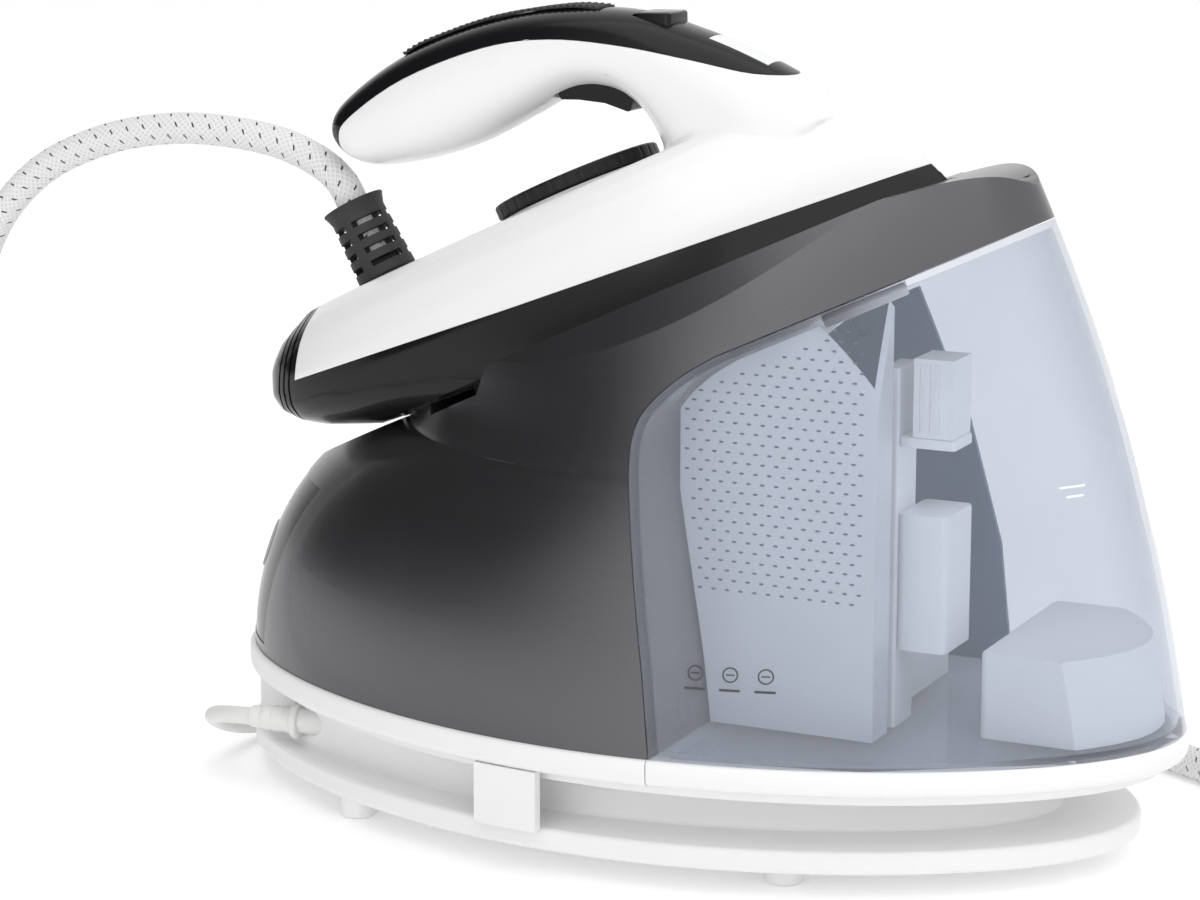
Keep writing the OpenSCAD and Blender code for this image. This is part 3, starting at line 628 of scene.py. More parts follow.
def handle_form(inset):
    first = 1 if inset > 0 else 0
    rows = HANDLE[first:]
    lows = spline([(a[0], a[1], r) for a, b, r in rows], 6)
    tops = spline([(b[0], b[1], r) for a, b, r in rows], 6)
    rings = []
    for low, top in zip(lows, tops):
        mid, half = (low + top) / 2, top - low
        half.z = 0
        h, d, r = half.length / 2 - inset, half.normalized(), low.z - inset
        ring = []
        for i in range(64):
            c, k = math.cos(2 * math.pi * i / 64), math.sin(2 * math.pi * i / 64)
            a = h * math.copysign(abs(c) ** 0.85, c)
            ring.append((mid.x + d.x * a, r * math.copysign(abs(k) ** 0.85, k), mid.y + d.y * a))
        rings.append(ring)
    return loft("handle_form", rings)


# ---------- cords ----------

HOSE_IRON = [(-132, 0, 194.3), (-137, 0, 203), (-142.5, 0, 213), (-148, 0, 221.5), (-158, 0, 228.5),
             (-175, 0, 234.5), (-199, 0, 237.5), (-224, 0, 237), (-252, 0, 231.5), (-280, 0, 219.5),
             (-301, 0, 201), (-315, 1, 177)]
HOSE_TABLE = [(-322, 2, 150), (-327, 0, 118), (-330, -5, 88), (-331, -16, 60), (-329, -36, 34),
              (-320, -64, 15), (-304, -97, 7), (-280, -134, 6), (-248, -172, 6), (-212, -206, 6),
              (-176, -231, 6), (-138, -241, 6), (-96, -230, 6), (-46, -206, 6), (12, -178, 6),
              (70, -152, 6), (128, -127, 6), (180, -98, 6), (214, -56, 6), (221, -6, 6), (209, 46, 6),
              (184, 86, 6), (148, 112, 6), (106, 124, 7.5), (72, 122, 15), (48, 112, 23.5),
              (32.5, 99.5, 27), (25, 92, 27)]
LEAD = [(-137.5, -53.4, 27), (-144.9, -54.4, 27), (-156.8, -56.1, 26.9), (-167.5, -55, 26),
        (-176.5, -50, 23.5), (-183, -41.5, 19.5), (-186.5, -31, 14.5), (-187.5, -19, 9.8), (-187, -6, 6.2),
        (-186.5, 8, 4.2), (-187, 26, 3.4), (-188.5, 48, 3.4), (-190.5, 66, 3.4), (-192.8, 84, 3.4)]
COIL_AT = (-158, 100)
# Radius and height of each turn of the spare lead, in the order in which it is wound
TURNS = [(35.75, 3.4), (29.25, 3.4), (29.25, 9.8), (35.75, 9.8), (35.75, 16.2), (29.25, 16.2),
         (29.25, 22.6), (35.75, 22.6)]
PLUG_AT = (-126.5, 122, 18)


def metres(points):
    return [Vector(p) * MM for p in points]


def coil_points():
    """Clockwise from the left-hand side of the coil, stepping to the next turn on its near side."""
    out, theta, end = [], 0.0, 70 + 360 * 7
    while theta <= end + 0.1:
        place = (theta - 240) / 360
        k = max(0, math.floor(place) + 1)
        part = min(1.0, max(0.0, (place - math.floor(place)) * 360 / 60)) if place >= 0 else 0.0
        part = part * part * (3 - 2 * part)
        now, was = TURNS[min(k, 7)], TURNS[min(max(k - 1, 0), 7)]
        r = was[0] + (now[0] - was[0]) * part if k > 0 else now[0]
        z = was[1] + (now[1] - was[1]) * part if k > 0 else now[1]
        angle = math.radians(180 - theta)
        out.append((COIL_AT[0] + r * math.cos(angle), COIL_AT[1] + r * math.sin(angle), z))
        theta += 10
    return out


def lead_route():
    """From the gland to the coil, its turns, and an easy double bend into the plug."""
    coil = coil_points()
    tail, turn, r = [], math.radians(20), 26.0
    ex, ey = COIL_AT[0] - 35.75 * math.sin(turn), COIL_AT[1] + 35.75 * math.cos(turn)
    cx, cy = ex + r * math.sin(turn), ey - r * math.cos(turn)
    drop = math.asin((PLUG_AT[0] - cx) / (2 * r))
    for k in range(1, 6):
        a = -turn + (turn + drop) * k / 5
        tail.append((cx + r * math.sin(a), cy + r * math.cos(a)))
    dx, dy = cx + 2 * r * math.sin(drop), cy + 2 * r * math.cos(drop)
    for k in range(1, 5):
        a = drop * (1 - k / 4)
        tail.append((dx - r * math.sin(a), dy - r * math.cos(a)))
    count = len(tail)
    high = TURNS[-1][1]
    ends = []
    for k, (x, y) in enumerate(tail):
        f = (k + 1) / count
        f = f * f * (3 - 2 * f)
        ends.append((x, y, high + (PLUG_AT[2] - high) * f))
    return LEAD + coil + ends + [(PLUG_AT[0] + 8, ends[-1][1], PLUG_AT[2])]


def cords():
    path = spline(metres(HOSE_IRON + HOSE_TABLE), 8)
    hose = tube("steam_hose", path, 0.006, 32)
    hose.data.materials.append(MATERIALS["braid"])
    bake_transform(hose)
    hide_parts("hose_upper", "hose_lower")
    plug, pins = mains_plug()
    path = spline(metres(lead_route()), 3)
    lead = tube("mains_lead_run", path, 0.00325, 20)
    lead.data.materials.append(MATERIALS["cord"])
    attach(lead, "station")
    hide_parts("mains_lead", "lead_coil")
    tie()


def tie():
    """Rubber strap round the coil's turns."""
    x, y = COIL_AT[0], COIL_AT[1] + 32.5
    outer = [(y - 8.6, 0.0), (y + 8.6, 0.0), (y + 8.6, 26.2), (y + 7.2, 27.5), (y - 7.2, 27.5), (y - 8.6, 26.2)]
    inner = [(y - 7.4, -0.05), (y + 7.4, -0.05), (y + 7.4, 25.3), (y + 6.4, 26.2), (y - 6.4, 26.2),
             (y - 7.4, 25.3)]
    strap = prism("tie", outer, x - 4, x + 4, "x")
    combine(strap, *cut(prism("hole", inner, x - 5, x + 5, "x")))
    return piece(strap, "cable_tie", "station", "rubber", "black_rubber", "lead_tie")


def mains_plug():
    """Round two-pin plug with a ribbed neck and grip grooves."""
    pin_y = (-9.5, 9.5)
    place = Matrix.Translation(PLUG_AT) @ Matrix.Rotation(math.radians(90), 4, "Y")
    profile = [(3.3, 0.0), (4.2, 0.3)]
    for k in range(6):
        z = 1.5 + 3.6 * k
        r = 4.3 + 3.1 * z / 24
        profile += [(r + 0.3, z), (r + 0.3, z + 2.0), (r - 0.5, z + 2.4), (r - 0.5, z + 3.2)]
    profile += [(7.5, 23.6), (9.6, 24.4), (11.5, 26.5), (15.6, 33.5), (17.2, 36.2), (17.9, 38.5), (18.0, 42.0),
                (18.0, 54.0), (17.6, 55.4), (16.6, 56.0)]
    body = lathe("plug", profile, 72)
    cutters = []
    for k in range(12):
        a = 2 * math.pi * k / 12
        groove = block("groove", (17.2, -0.7, 40), (20, 0.7, 51))
        cutters.append(move(groove, Matrix.Rotation(a, 4, "Z")))
    cutters += [bore(2.5, 46, 60, 32, 0, y) for y in pin_y]
    combine(body, *cut(*cutters))
    plug = piece(move(body, place), "mains_plug_body", "station", "cord", "cord_grey", "mains_plug")
    pins = []
    for y in pin_y:
        pin = lathe("pin", [(2.4, 46), (2.4, 72.6), (1.9, 73.6), (0.9, 74.0)], 32)
        pins.append(move(pin, Matrix.Translation((0, y, 0))))
    both = piece(move(join("pins", pins), place), "mains_plug_pins", "station", "steel", "steel", "plug_pins")
    return plug, both


# ---------- base ----------

# Rim section: height, and how far the surface is drawn in
RIM = [(38.5, 2.6), (38.7, 1.6), (39.3, 0.7), (40.4, 0.15), (41.5, 0.0), (46.4, 0.0), (47.3, 0.25),
       (47.8, 0.7), (48.0, 1.3)]


def rounded_oval(name, cx, a, b, low, high, r_low, r_high):
    """Oval slab with rounded lower and upper edges."""
    rows = [(low + r_low * (1 - math.cos(math.radians(q))), r_low * (1 - math.sin(math.radians(q))))
            for q in range(0, 91, 15)] if r_low else [(low, 0)]
    rows += [(high - r_high * (1 - math.cos(math.radians(q))), r_high * (1 - math.sin(math.radians(q))))
             for q in range(90, -1, -15)] if r_high else [(high, 0)]
    return loft(name, [[(x, y, z) for x, y in oval(cx, a - i, b - i)] for z, i in rows])


def tilted_box(name, u0, v0, w0, u1, v1, w1, turn):
    """Box turned by an angle about the v axis of the tilted frame."""
    return move(block(name, (u0, v0, w0), (u1, v1, w1)), Matrix.Rotation(math.radians(turn), 4, "Y"))


SCREWS = [(100, 30), (100, -30), (-20, 55), (-20, -55), (-140, 20), (-140, -20)]
PORT = (70, 0)
FEET = [(64, 69), (64, -69), (-104, 69), (-104, -69)]


def facing(at, about_z, about_y):
    """Place for a solid made along z: turned about y, then about z, then set at a point."""
    return (Matrix.Translation(at) @ Matrix.Rotation(math.radians(about_z), 4, "Z")
            @ Matrix.Rotation(math.radians(about_y), 4, "Y"))


GLAND = facing((-135, -53, 27), 8, -90)
SOCKET = facing((10, 77, 27), 45, 90)


def base():
    plate = rounded_oval("plate", -7.5, 174.5, 100, 8.5, 17, 2.2, 1.6)
    holes = [bore(1.6, 7, 18, 32, x, y) for x, y in SCREWS]
    holes += [bore(3.6, 7, 11.5, 32, x, y) for x, y in SCREWS]
    piece(combine(plate, *cut(*holes)), "base_plate_moulding", "station", "base", "white_plastic", "base_plate")

    rows = [(17.0, -1.2), (17.4, -0.6), (18.2, -0.15), (19.4, 0.0), (34.5, 0.0)]
    pedestal = loft("pedestal", [[(x, y, z) for x, y in oval(-22, 160 - i, 80 - i)] for z, i in rows])
    hollow = prism("hollow", oval(-22, 157.5, 77.5), 19.5, 40)
    ports = (move(bore(5, -30, 30, 48), GLAND), move(bore(7.4, -30, 30, 48), SOCKET))
    combine(pedestal, *cut(hollow, *ports))
    piece(pedestal, "pedestal_moulding", "station", "base", "white_plastic", "base_pedestal")

    for side in (-1, 1):
        ring = prism("ring", oval(0, 182.5, 106.5), 17, 38.5)
        lo, hi = ((-38, 60, 16), (-13, 160, 40)) if side > 0 else ((-38, -160, 16), (-13, -60, 40))
        combine(ring, *cut(prism("in", oval(0, 178.5, 102.5), 10, 50)),
                *within(block("box", lo, hi)))
        names = ("base_struts",) if side > 0 else ()
        piece(ring, "strut_left" if side > 0 else "strut_right", "station", "base", "white_plastic", *names)

    feet = []
    for x, y in FEET:
        foot = lathe("foot", [(5.4, 0), (6.3, 0.3), (6.9, 1.0), (7, 1.8), (7, 7.6), (7.4, 8.5)], 64)
        feet.append(move(foot, Matrix.Translation((x, y, 0))))
    piece(join("feet", feet), "feet_round", "station", "base", "white_plastic", "feet")

    left = block("left", (-300, -200, 30), (SPLIT_X, 200, 60))
    rim = loft("rim", [[(x, y, z) for x, y in oval(0, 183 - i, 107 - i)] for z, i in RIM])
    combine(rim, *within(left))
    combine(rim, ("UNION", prism("deck", oval(0, 175, 99), 34.5, 38.7)))
    pocket = prism("pocket", oval(0, 176, 100), 38.5, 60)
    combine(pocket, *within(block("left", (-300, -200, 30), (20, 200, 61))))
    combine(rim, *cut(pocket, bore(4, 30, 60, 32, -4, -20), bore(8, 30, 60, 32, *PORT)))
    piece(rim, "base_rim", "station", "base", "white_plastic", "base_deck")

    gland_profile = [(4.6, -12), (4.9, -11.6), (4.9, 2), (6.6, 2.2), (7.0, 2.8), (7.0, 4.4), (6.5, 5.0),
                     (5.1, 5.3), (5.0, 8.0), (4.6, 8.5), (4.6, 9.3), (4.9, 9.8), (4.8, 12.6), (4.4, 13.1),
                     (4.4, 13.9), (4.65, 14.4), (4.5, 17.2), (4.15, 17.7), (4.15, 18.5), (4.3, 19.0),
                     (4.05, 21.7), (3.8, 22)]
    gland = lathe("gland", gland_profile, 64)
    combine(gland, *cut(lathe("bore", [(3.3, -13), (3.3, 30)], 48)))
    piece(move(gland, GLAND), "lead_strain_relief", "station", "cord", "cord_grey", "lead_gland")
    socket_profile = [(7.0, -10), (7.3, -9.6), (7.3, 8), (7.45, 8.3), (7.45, 11.4), (6.9, 12), (6.9, 14.6),
                      (7.35, 15.1), (7.35, 18.1), (6.8, 18.7), (6.8, 21.3), (7.2, 21.8), (7.2, 24.8),
                      (6.7, 25.4), (6.7, 28), (7.05, 28.5), (7.0, 31.4), (6.7, 32)]
    socket = lathe("socket", socket_profile, 72)
    combine(socket, *cut(bore(6.1, 8, 40, 48), bore(3.1, -11, 9, 32)))
    piece(move(socket, SOCKET), "hose_strain_relief", "station", "rubber", "black_plastic", "hose_socket")


# ---------- station ----------

def bay_top(x):
    return SOLE_Z - 23.5 / math.cos(TILT) + (x - SOLE_X) * math.tan(TILT)


def bay_outline(g):
    knots = [(28, 50, 0), (25, 75, 0), (21, 100, 0), (17, 125, 0), (14, 145, 0), (14.5, 157, 0),
             (19, bay_top(19) - 7, 0), (29, bay_top(29) - 2, 0), (40, bay_top(40), 0)]
    curve = [(p.x, p.y) for p in spline(knots, 4)]
    return grow([(260, 30), (28, 30)] + curve + [(260, bay_top(260))], g)


def tank_bay(g):
    return prism("bay", bay_outline(g), -150, 150, "y")


def below(w):
    return move(block("below", (-400, -300, w - 600), (500, 300, w)), PLACE)


def rest_outline(g, n=200):
    out = []
    for i in range(n):
        t = 2 * math.pi * i / n
        s, c = math.sin(t), math.cos(t)
        out.append((123 + (127 + g) * c * (1 + 0.5 * max(0.0, -c)),
                    (66 + g) * math.copysign(abs(s) ** 0.8, s) * (1 - 0.2 * c)))
    return out


def rest_bevel():
    rings = []
    for g in (160, 110, 70, 40, 20, 10, 0):
        rings.append([(u, v, 4 - g * 8.5 / 8) for u, v in rest_outline(g)])
    skirt = loft("skirt", rings)
    lip = [(218, 3.6), (230, 2), (239, 0.4), (246, -1.8), (251, -4.4), (254.4, -7.6), (256.8, -12), (260, -30)]
    lip = [(p.x, p.y) for p in spline([(a, b, 0) for a, b in lip], 4)]
    profile = [(-150, -300), (-150, 10), (200, 10)] + lip + [(300, -300)]
    combine(skirt, *within(prism("lip", profile, -200, 200, "y")))
    return move(skirt, PLACE)


def iron_pocket():
    hole = prism("pocket", iron_plan(231, -60, 64), -4, 26)
    combine(hole, *within(block("front", (32, -100, -10), (292, 100, 40))))
    slope = [(-160, -0.4), (34, -0.4), (66, 4.1), (66, 60), (-160, 60)]
    return move(hole, PLACE), move(prism("slope", slope, -150, 150, "y"), PLACE)


def panel_window(g):
    return block("window", (-200, -46 - g, 52 - g), (-115, 46 + g, 114 + g))


def rear(solid, y, z):
    """Turns a solid made along z to run along x, in through the station's rear end at y and z."""
    return move(solid, Matrix.Translation((-200, y, z)) @ Matrix.Rotation(math.radians(90), 4, "Y"))


def station():
    shell = combine(station_form(0), *within(rest_bevel()))
    cavity = combine(station_form(2.5, 47), *within(below(-7)))
    lining = combine(station_form(0.8), *within(below(-5), tank_bay(2.5)))
    hole, slope = iron_pocket()
    combine(shell, *cut(cavity), ("UNION", lining), *cut(tank_bay(0), hole, slope, panel_window(0)))
    piece(shell, "station_shell", "station", "charcoal", "charcoal_shell", "shell", crease=16)

    panel = combine(station_form(0.3), *within(panel_window(-0.25)),
                    *cut(station_form(3.2, 40)))
    bores = [rear(bore(9.4, 0, 60, 72), y, KEY_Z) for y in (-KEY_Y, KEY_Y)]
    bores += [rear(bore(1.9, 0, 60, 24), y, LAMP_Z) for y in LAMPS]
    combine(panel, *cut(*bores))
    piece(panel, "rear_panel", "station", "gloss_black", "gloss_black", "control_panel")

    for y, name, body, node in ((-KEY_Y, "power_key_cap", "power_key", "power_button"),
                                (KEY_Y, "steam_key_cap", "steam_key", "steam_button")):
        key = combine(station_form(-0.4), *cut(station_form(6, 40)),
                      *within(rear(bore(9, 0, 60, 96), y, KEY_Z)))
        ring = combine(bore(7.0, 0, 60, 72), *cut(bore(6.3, -1, 61, 72)))
        combine(rear(ring, y, KEY_Z), *cut(station_form(0.1, 40)))
        combine(key, *cut(ring))
        piece(key, name, body, "grey", "grey_key", node)

    lamps = []
    for y in LAMPS:
        lamp = combine(station_form(0), *cut(station_form(5, 40)),
                       *within(rear(bore(1.8, 0, 60, 32), y, LAMP_Z)))
        lamps.append(lamp)
    piece(join("lamps", lamps), "indicator_lenses", "station", "lamp", "lamp_lens", "indicator_lights")


# ---------- tank ----------

def rounded(name, lo, hi, r):
    """Box with rounded upright corners and a soft top edge."""
    top = hi[2]
    return soft_box(name, lo, hi, r, ((lo[2], 0), (top - 0.8, 0), (top - 0.25, 0.25), (top, 0.9)))


def dimples():
    """Staggered rows of small raised ovals on the baffle, inside its slanting rear and top edges."""
    pads = []
    for row in range(44):
        z = 98 + 3.45 * row
        for col in range(14):
            x = 22.5 + 5.1 * col + (2.55 if row % 2 else 0)
            edge = 21 + max(0.0, 145 - z) * 0.14
            if z < min(243, bay_top(x) - 8) and edge < x < 88:
                ring = [(x + 0.95 * c, -60, z + 0.42 * s) for c, s in circle(1, 10)]
                top = [(x + 0.6 * (p[0] - x), -60.35, z + 0.6 * (p[2] - z)) for p in ring]
                pads.append(loft("dot", [ring, top]))
    return pads


def tank():
    front = SPLIT_X + 0.4
    rows = [(z + (0.4 if z < 41 else 0), i) for z, i in RIM]
    rim = loft("rim", [[(x, y, z) for x, y in oval(0, 183 - i, 107 - i)] for z, i in rows])
    combine(rim, *within(block("right", (front, -200, 30), (330, 200, 60))))
    pocket = combine(prism("pocket", oval(0, 177, 101), 42, 60),
                     *within(block("right", (front + 6, -200, 30), (330, 200, 61))))
    combine(rim, *cut(pocket, bore(12, 30, 60, 48, *PORT)))
    piece(rim, "tank_rim", "water_tank", "base", "white_plastic", "tank_base")

    shell = combine(station_form(0), *within(tank_bay(-0.4), block("above", (0, -200, 48), (300, 200, 348))))
    above = block("above", (0, -200, 50.4), (300, 200, 348))
    inner = combine(station_form(2.4, 44), *within(tank_bay(-2.8), above))
    filler = Matrix.Translation((62, 0, bay_top(62))) @ Matrix.Rotation(-TILT, 4, "Y")
    combine(shell, *cut(inner, bore(9, 40, 54, 48, *PORT), move(bore(16, -6, 6, 64), filler)))
    piece(shell, "tank_body", "water_tank", "tank", "tank_blue", "tank_shell")

    cap = lathe("cap", [(15.0, -5.5), (15.6, -5.3), (15.8, -4.8), (15.8, -1.6), (15.3, -0.9), (14.4, -0.7),
                        (11, -0.7), (10.6, -1.4), (3, -1.4)], 72)
    combine(cap, ("UNION", block("bar", (-10.8, -1.6, -3), (10.8, 1.6, -0.8))))
    piece(move(cap, filler), "filler_cap_ring", "water_tank", "base", "white_plastic", "filler_cap")

    plate = join("baffle", [block("p", (20, -60, TANK_FLOOR), (92, -58, 240)),
                            block("f", (90, -57.99, TANK_FLOOR), (92, -46, 240)),
                            block("t", (28, -57.99, 101), (34, 57.9, 103))])
    combine(plate, *within(station_form(7, 44), tank_bay(-4)))
    piece(plate, "tank_baffle", "water_tank", "panel_blue", "inner_white", "baffle_plate")
    # Far wing of the baffle sheet on the tank's far wall, given the dark liner colour as painted shade where
    # that side lies in shadow.
    far = [(22, 50.5), (100, 50.5), (95, 95), (82, 140), (60, 190), (22, 190)]
    wing = prism("wing", far, 58, 60, "y")
    combine(wing, *within(station_form(7, 44), tank_bay(-4)))
    piece(wing, "tank_liner_far", "water_tank", "painted_shade_liner", "inner_white")
    piece(join("dots", dimples()), "baffle_dimples", "water_tank", "dots", "inner_white")

    cartridge = block("box", (97, -40, 153.2), (111, -22, 180.2))
    piece(cartridge, "filter_body", "water_tank", "inner", "inner_white", "filter_cartridge")
    ribs = [block("rib", (x, -41.0, 155.2), (x + 2, -39.9, 178.2)) for x in (97.4, 101.0, 104.6)]
    piece(join("ribs", ribs), "filter_ribs", "water_tank", "white", "inner_white")

    holder = join("holder", [rounded("column", (85, -40, TANK_FLOOR), (92, -22, 176.5), 1.2),
                             rounded("shelf", (92.1, -40, 149.5), (112, -22, 153.1), 1.2),
                             rounded("block", (92.1, -40, 78.5), (110, -14, 126.5), 2.5)])
    piece(holder, "filter_holder", "water_tank", "inner", "inner_white", "cartridge_holder")
    float_box = combine(rounded("float", (122, -38, TANK_FLOOR), (182, 42, 80.5), 3),
                        *within(station_form(7, 44)))
    piece(float_box, "float_chamber", "water_tank", "inner", "inner_white", "float_housing")
    intake = rounded("intake", (31.5, -52, TANK_FLOOR), (84, 38, 99.5), 3)
    piece(intake, "intake_chamber", "water_tank", "inner", "inner_white", "intake_housing")


def tank_marks():
    """Plain rings and bars in place of the printed symbols, and a level line."""
    parts = []

    def ribbon(points, width):
        left, right = [], []
        for k, p in enumerate(points):
            a, b = points[max(0, k - 1)], points[min(len(points) - 1, k + 1)]
            d = Vector((b[0] - a[0], b[1] - a[1])).normalized()
            left.append((p[0] - d.y * width / 2, p[1] + d.x * width / 2))
            right.append((p[0] + d.y * width / 2, p[1] - d.x * width / 2))
        verts, faces, n = [], [], len(points)
        for lift in (0.05, 0.22):
            for x, z in left + right:
                verts.append(on_station(x, z, lift))
        for k in range(n - 1):
            faces += [(k, k + 1, n + k + 1, n + k), (2 * n + k + 1, 2 * n + k, 3 * n + k, 3 * n + k + 1),
                      (k + 1, k, 2 * n + k, 2 * n + k + 1),
                      (n + k, n + k + 1, 3 * n + k + 1, 3 * n + k)]
        faces += [(0, n, 3 * n, 2 * n), (n - 1, 3 * n - 1, 4 * n - 1, 2 * n - 1)]
        return make("mark", verts, faces)

    for k in range(3):
        x, z = 43.5 + 11.6 * k, 79.0
        ring = circle(2.4, 24, x, z)
        parts.append(ribbon(ring[:13], 0.45))
        parts.append(ribbon(ring[12:] + ring[:1], 0.45))
        parts.append(ribbon([(x - 1.4, z), (x + 1.4, z)], 0.45))
        parts.append(ribbon([(x - 3.4, z - 5.2), (x + 3.4, z - 5.2)], 0.8))
    piece(join("marks", parts), "tank_marks", "water_tank", "ink", "black_plastic")
    level = [ribbon([(147.5, 139.5), (153.5, 139.5)], 0.7), ribbon([(149.5, 136.3), (153.5, 136.3)], 0.7)]
    piece(join("level", level), "level_marks", "water_tank", "white_ink", "white_plastic")


# ---------- iron ----------

# Heights of the body's rings, and the line in side view above which the handle is black
BODY = [2, 3, 4, 6, 8, 10, 12, 14, 17, 20, 23, 26, 29, 32, 35, 38, 40.5, 43, 44.5, 46, 47.2, 48.4, 49.3, 50]
CAP_LINE = [(20, 84), (15, 96), (17, 104), (25, 109), (54, 113), (89, 110.5), (115, 103), (140, 90),
            (162, 75.5), (181, 62), (200, 52)]
DIAL_U = 95
BOOT_U = 7
LENS, LENS_SIZE = facing((176, 0, 72), 0, 42), (24, 13)
LOCK, LOCK_SIZE = facing((151, 0, 96), 0, 24), (14, 17)


def cap_region(g):
    line = [(p.x, p.y) for p in spline([(a, b, 0) for a, b in CAP_LINE], 5)]
    return prism("cap", grow(line + [(240, 60), (240, 180), (-40, 180), (-40, 84)], g), -150, 150, "y")


def skirt_region(g):
    side = [(-60, 30.4 - g), (80, 19.5 - g), (260, 7.5 - g), (260, -50), (-60, -50)]
    return prism("skirt", side, -150, 150, "y")


def heel_region(g):
    return tilted_box("heel", -331 - g, -150, -200, -31 - g, 150, 200, 25)


def outside(obj, size, steps, keep):
    """Even fine mesh with its inner corners filled, most where keep is low."""
    remesh = obj.modifiers.new("grid", "REMESH")
    remesh.mode = "VOXEL"
    remesh.voxel_size = size
    baked(obj)
    group = obj.vertex_groups.new(name="soft")
    for v in obj.data.vertices:
        group.add([v.index], keep(v.co), "REPLACE")
    smooth = obj.modifiers.new("soft", "SMOOTH")
    smooth.factor = 0.5
    smooth.iterations = steps
    smooth.vertex_group = "soft"
    baked(obj)
    obj.vertex_groups.clear()
    return obj


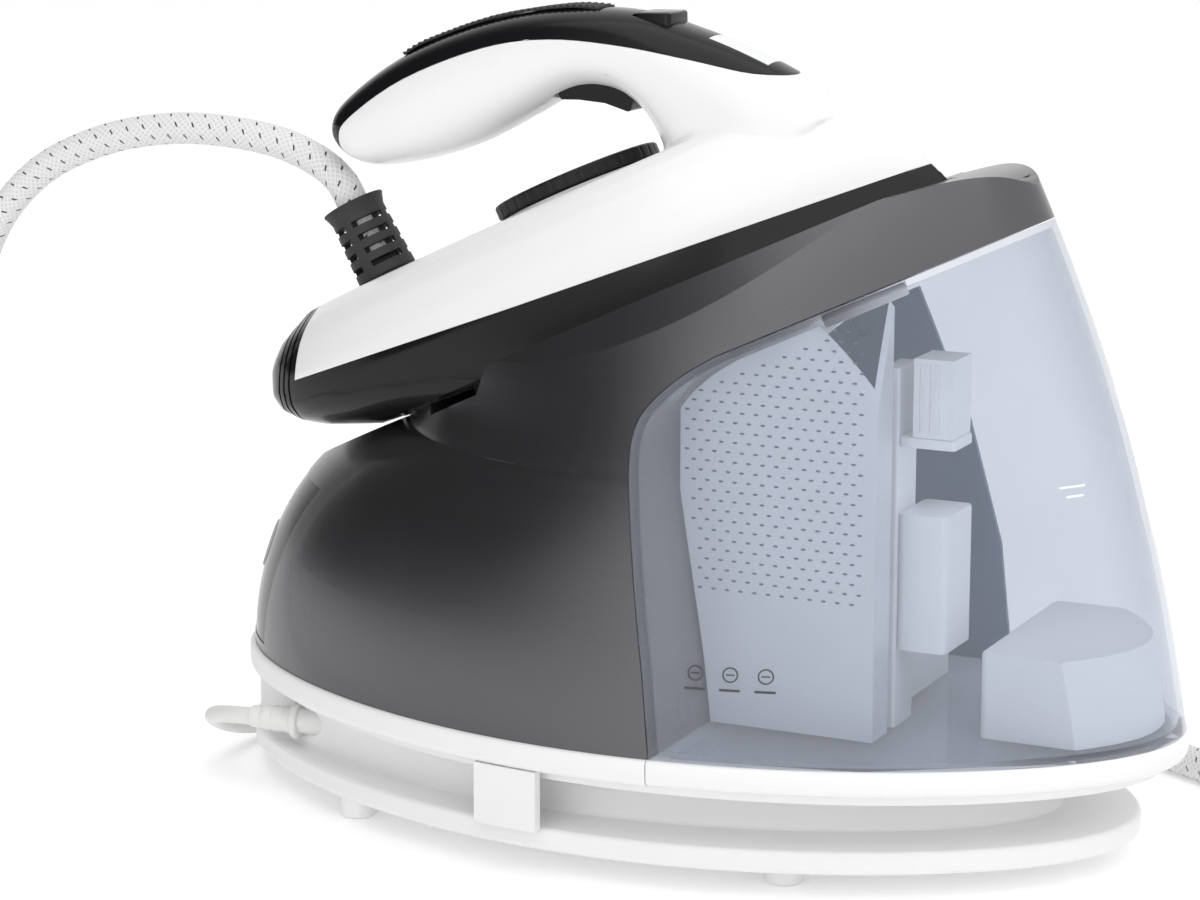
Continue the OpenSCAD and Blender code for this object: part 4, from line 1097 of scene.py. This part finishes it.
def iron():
    whole = iron_form(0, BODY)
    boss_rows = [(37.9, 43.0), (37.5, 44.0), (36.2, 45.6), (34.4, 47.2), (33.0, 48.6), (32.0, 49.8),
                 (31.4, 50.6), (30.9, 51.3)]
    boss = move(lathe("boss", boss_rows, 128), Matrix.Translation((DIAL_U, 0, 0)))
    combine(whole, ("UNION", handle_form(0)), ("UNION", boss))
    outside(whole, 1.15, 14, lambda p: 1.0 if p.z > 58 else (0.45 if p.z > 40 else 0.18))
    shield, heel, cap = copy_of(whole, "shield"), copy_of(whole, "heel"), copy_of(whole, "cap")

    lower = [0, 2, 4, 10, 14, 20, 26, 32, 38, 43, 46, 47.4]
    slot = block("slot", (103, -9, 66), (135, 9, 90))
    combine(whole, *cut(cap_region(0.15), skirt_region(0), heel_region(0), iron_form(2.5, lower),
                        handle_form(2.5), slot, bore(3.05, 30, 70, 32, DIAL_U), bore(9.2, 40, 60, 48, BOOT_U)))
    piece(move(whole, PLACE), "iron_body", "iron", "white", "white_plastic", "iron_shell", crease=40)

    deep = [-0.4, 4, 10, 14, 20, 26, 32, 39]
    foot = iron_form(0, [0.8, 2, 4, 6])
    combine(shield, ("UNION", foot), *within(skirt_region(0.2)), *cut(heel_region(0.2), iron_form(3, deep)))
    piece(move(shield, PLACE), "iron_skirt", "iron", "gloss_black", "gloss_black", "heat_shield", crease=40)

    combine(heel, *within(heel_region(0.15)),
            *cut(iron_form(4, [7, 10, 14, 20, 26, 32, 38, 42]), block("lift", (-60, -80, -2), (0, 80, 8))))
    for x in (-34.6, -38.0, -41.4):
        slab = tilted_box("slab", x - 0.55, -150, -200, x + 0.55, 150, 200, 25)
        combine(slab, *cut(iron_form(0.9, lower + [50])))
        combine(heel, *cut(slab))
    piece(move(heel, PLACE), "iron_heel", "iron", "gloss_black", "gloss_black", "heel_cap", crease=40)

    def opening(size, g, place, deep):
        """Block for an opening in the handle, grown by g on its four sides."""
        w, h = size[0] / 2 + g, size[1] / 2 + g
        return move(block("opening", (-w, -h, -deep), (w, h, deep)), place)

    front = copy_of(cap, "lens")
    combine(cap, *within(cap_region(-0.15)),
            *cut(handle_form(2.5), opening(LENS_SIZE, 0.15, LENS, 8), opening(LOCK_SIZE, 0.4, LOCK, 10)))
    piece(move(cap, PLACE), "handle_top", "iron", "gloss_black", "black_plastic", "handle_cap", crease=40)
    combine(front, *within(opening(LENS_SIZE, 0, LENS, 8)), *cut(handle_form(2.2)))
    piece(move(front, PLACE), "status_window", "iron", "lens", "lamp_lens", "signal_lens", crease=40)

    line = spline([(52, 122.1, 0), (64, 122.65, 0), (92, 119.65, 0), (118, 112.65, 0), (132, 106.2, 0)], 12)
    lower_edge = [(p.x, p.y) for p in line]
    ridges, total = [], 0.0
    fine = spline([tuple(p) for p in line], 6)
    for a, b in zip(fine, fine[1:]):
        total += (b - a).length
        wave = 0.5 + 0.5 * math.cos(2 * math.pi * total / 2.6)
        n = Vector((-(b - a).y, (b - a).x)).normalized()
        ridges.append((b.x + n.x * (0.5 + 0.75 * wave), b.y + n.y * (0.5 + 0.75 * wave)))
    grip = prism("grip", lower_edge + ridges[::-1], -6.5, 6.5, "y")
    piece(move(grip, PLACE), "grip_ribs", "iron", "rubber", "black_rubber", "handle_grip", crease=50)

    w, h = LOCK_SIZE[0] / 2, LOCK_SIZE[1] / 2
    key = soft_box("key", (-w, -h), (w, h), 2, ((-7, 0), (0.0, 0), (0.6, 0.2), (1.0, 0.9)))
    piece(move(key, PLACE @ LOCK), "lock_slide", "lock_key", "gloss_black", "black_plastic", "lock_button")

    notches = lambda a: 1.0 - 0.009 * max(0.0, math.cos(36 * a)) ** 4
    dial = lathe("dial", [(30.4, 51.6), (31.2, 51.75), (31.5, 52.2), (31.5, 55.9), (31.1, 56.5), (30.3, 56.8),
                          (27.5, 56.8), (27.2, 56.3), (20, 56.3), (8, 56.4)], 36 * 10, notches)
    combine(dial, ("UNION", lathe("stem", [(3, 40), (3, 52)], 32)))
    move(dial, PLACE @ Matrix.Translation((DIAL_U, 0, 0)))
    piece(dial, "dial_wheel", "dial", "black", "black_plastic", "temperature_dial")

    profile = [(8.6, 0), (8.6, 4.9), (11.1, 4.9), (11.5, 5.4), (11.45, 7), (10.5, 29.5), (10.6, 30.2),
               (11.6, 33.2), (12, 33.9), (11.9, 34.4), (11.4, 34.5)]
    boot = lathe("boot", profile, 96)
    cuts = [bore(6.1, 11, 40, 64), bore(3.5, -1, 12, 32)]
    for k in range(4):
        for i in range(4):
            slot = block("slot", (5.2, -6.2, 8.8 + 5.4 * k), (16, 6.2, 11.1 + 5.4 * k))
            cuts.append(move(slot, Matrix.Rotation(math.radians(45 + 90 * i), 4, "Z")))
    combine(boot, *cut(*cuts))
    move(boot, PLACE @ facing((BOOT_U, 0, 47), 0, -5))
    piece(boot, "hose_boot_ribbed", "iron", "rubber", "black_rubber", "hose_boot")


# ---------- CAD nodes that keep their shape ----------

KEPT = {
    "base_screws": "steel", "rest_plate": "black", "rest_pads": "rubber", "control_board": "board",
    "boiler": "steel", "boiler_bracket": "steel", "steam_valve": "black", "pump": "black",
    "pump_mount": "rubber", "pump_tube": "silicone", "steam_tube": "silicone", "tank_socket": "grey",
    "tank_seal": "rubber", "tank_valve": "inner", "soleplate": "sole", "steam_chamber": "cast",
    "thermostat": "cast", "steam_trigger": "gloss_black", "trigger_pin": "steel",
    "trigger_switch": "black", "iron_pipe": "silicone",
}


def dress_nodes():
    for node, material in KEPT.items():
        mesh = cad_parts[node].data
        for k in range(max(1, len(mesh.materials))):
            if k < len(mesh.materials):
                mesh.materials[k] = MATERIALS[material]
            else:
                mesh.materials.append(MATERIALS[material])


def floor():
    """Round slab in metres, a hair below the feet so that it never shares a face with them."""
    ground = loft("floor", [[(x, y, z) for x, y in circle(9.0, 96)] for z in (-0.02, -0.0002)])
    ground.data.materials.append(MATERIALS["floor"])


make_camera()
studio()
MATERIALS = materials()
cords()
floor()
base()
station()
tank()
tank_marks()
iron()
dress_nodes()
